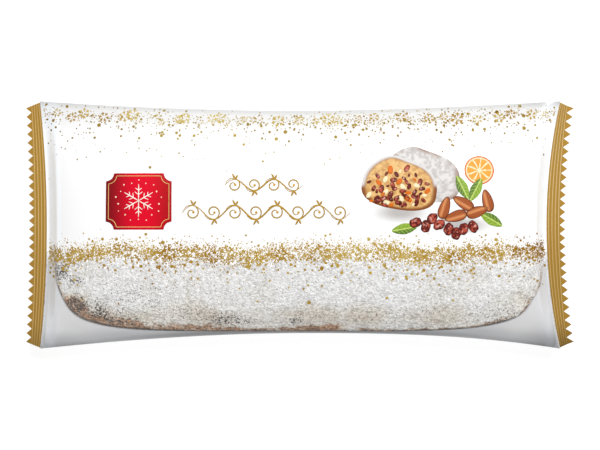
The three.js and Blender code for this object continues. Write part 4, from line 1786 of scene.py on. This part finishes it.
def placed_ovals(places, shape, rings, lift, skin):
    """A field for each place and turn, of one outline, with the skin that fits its place."""
    return [
        field(turn_and_place(shape, turn, x, y), rings, lift, skin((x, y), turn)) for x, y, turn in places
    ]


def raisin(x, y):
    """An oval with two waves round its outline, each raisin its own."""
    turn = np.arange(72) * 2 * np.pi / 72
    wrinkle = 1 + 0.05 * np.sin(4 * turn + x) + 0.03 * np.sin(7 * turn + y)
    shape = oval(4.1, 3.1) * wrinkle[:, None]
    return field(turn_and_place(shape[::2], x * 37, x, y), 7, 0.15, raisin_skin)


leaves = placed_ovals(LEAF_PLACES, oval(8.2, 3.5, 1.55), 9, 0.11, leaf_skin)
orange = field(oval(9.6, 9.2) + ORANGE_AT, 14, 0.09, orange_slice)
almonds = placed_ovals(ALMONDS, oval(7.4, 4.5, 2.1, 0.45), 10, 0.13, almond_skin)
raisins = [raisin(x, y) for x, y in RAISINS]
join_fields("picture_leaves", leaves, COLOUR)
join_fields("picture_orange", [orange], COLOUR)
join_fields("picture_almonds", almonds, COLOUR)
join_fields("picture_raisins", raisins, COLOUR)

# %% [markdown]
# ## Floor, light and camera
#
# A pale plain floor, one large soft light above the pack's upper edge and a weaker one opposite, and an even
# pale surround. The floor glows a little, so that it stays white round the pack without more light on it.
# The camera looks straight down from about a metre, with the pack's length across the image.

# %% Floor
FLOOR_HALF = 3.0
FLOOR_GLOW = 0.72


def stage_floor():
    """A square on the ground, nearly white."""
    mesh = bpy.data.meshes.new("floor")
    corners = [(x * FLOOR_HALF, y * FLOOR_HALF, 0) for x, y in ((-1, -1), (1, -1), (1, 1), (-1, 1))]
    mesh.from_pydata(corners, [], [(0, 1, 2, 3)])
    material, tree, shader = new_material("floor_white", Roughness=0.7, Specular_IOR_Level=0.1)
    white = mix_colour(tree, noise(tree, 3), ink(160, 160, 160), ink(166, 166, 166))
    tree.links.new(white, shader.inputs["Base Color"])
    shader.inputs["Emission Color"].default_value = (1, 1, 1, 1)
    shader.inputs["Emission Strength"].default_value = FLOOR_GLOW
    mesh.materials.append(material)
    floor = add_object("floor", mesh)
    print("floor:", 2 * FLOOR_HALF, "m wide")


stage_floor()


# %% Lights and surround
def soft_light(name, place, size, power):
    """A square area light at place that faces the middle of the pack."""
    lamp = bpy.data.lights.new(name, "AREA")
    lamp.shape = "SQUARE"
    lamp.size = size
    lamp.energy = power
    light = add_object(name, lamp)
    light.location = place
    light.rotation_euler = (-Vector(place)).to_track_quat("-Z", "Y").to_euler()
    print(f"{name}: {power} W")


soft_light("key", (0.4, 0.95, 1.7), 0.7, 28.5)
soft_light("fill", (-1.1, -0.9, 0.9), 0.8, 1.0)

world = bpy.data.worlds.new("surround")
world.use_nodes = True
world.node_tree.nodes["Background"].inputs["Color"].default_value = (1, 1, 1, 1)
world.node_tree.nodes["Background"].inputs["Strength"].default_value = 0.66
bpy.context.scene.world = world
bpy.context.scene.view_settings.view_transform = "Standard"

# %% Camera
VIEW_WIDTH = 0.3934  # metres across the image on the plane of the seals
SENSOR = 36.0
LENS = 85.0
CAMERA_HEIGHT = SEAL_PLANE * MM + VIEW_WIDTH * LENS / SENSOR

camera = add_object("camera", bpy.data.cameras.new("camera"))
camera.data.sensor_width = SENSOR
camera.data.lens = LENS
camera.data.clip_start = 0.05
camera.location = (0, 0, CAMERA_HEIGHT)
bpy.context.scene.camera = camera
print(f"camera at {CAMERA_HEIGHT:.3f} m")

# %% Update the scene
bpy.context.view_layer.update()
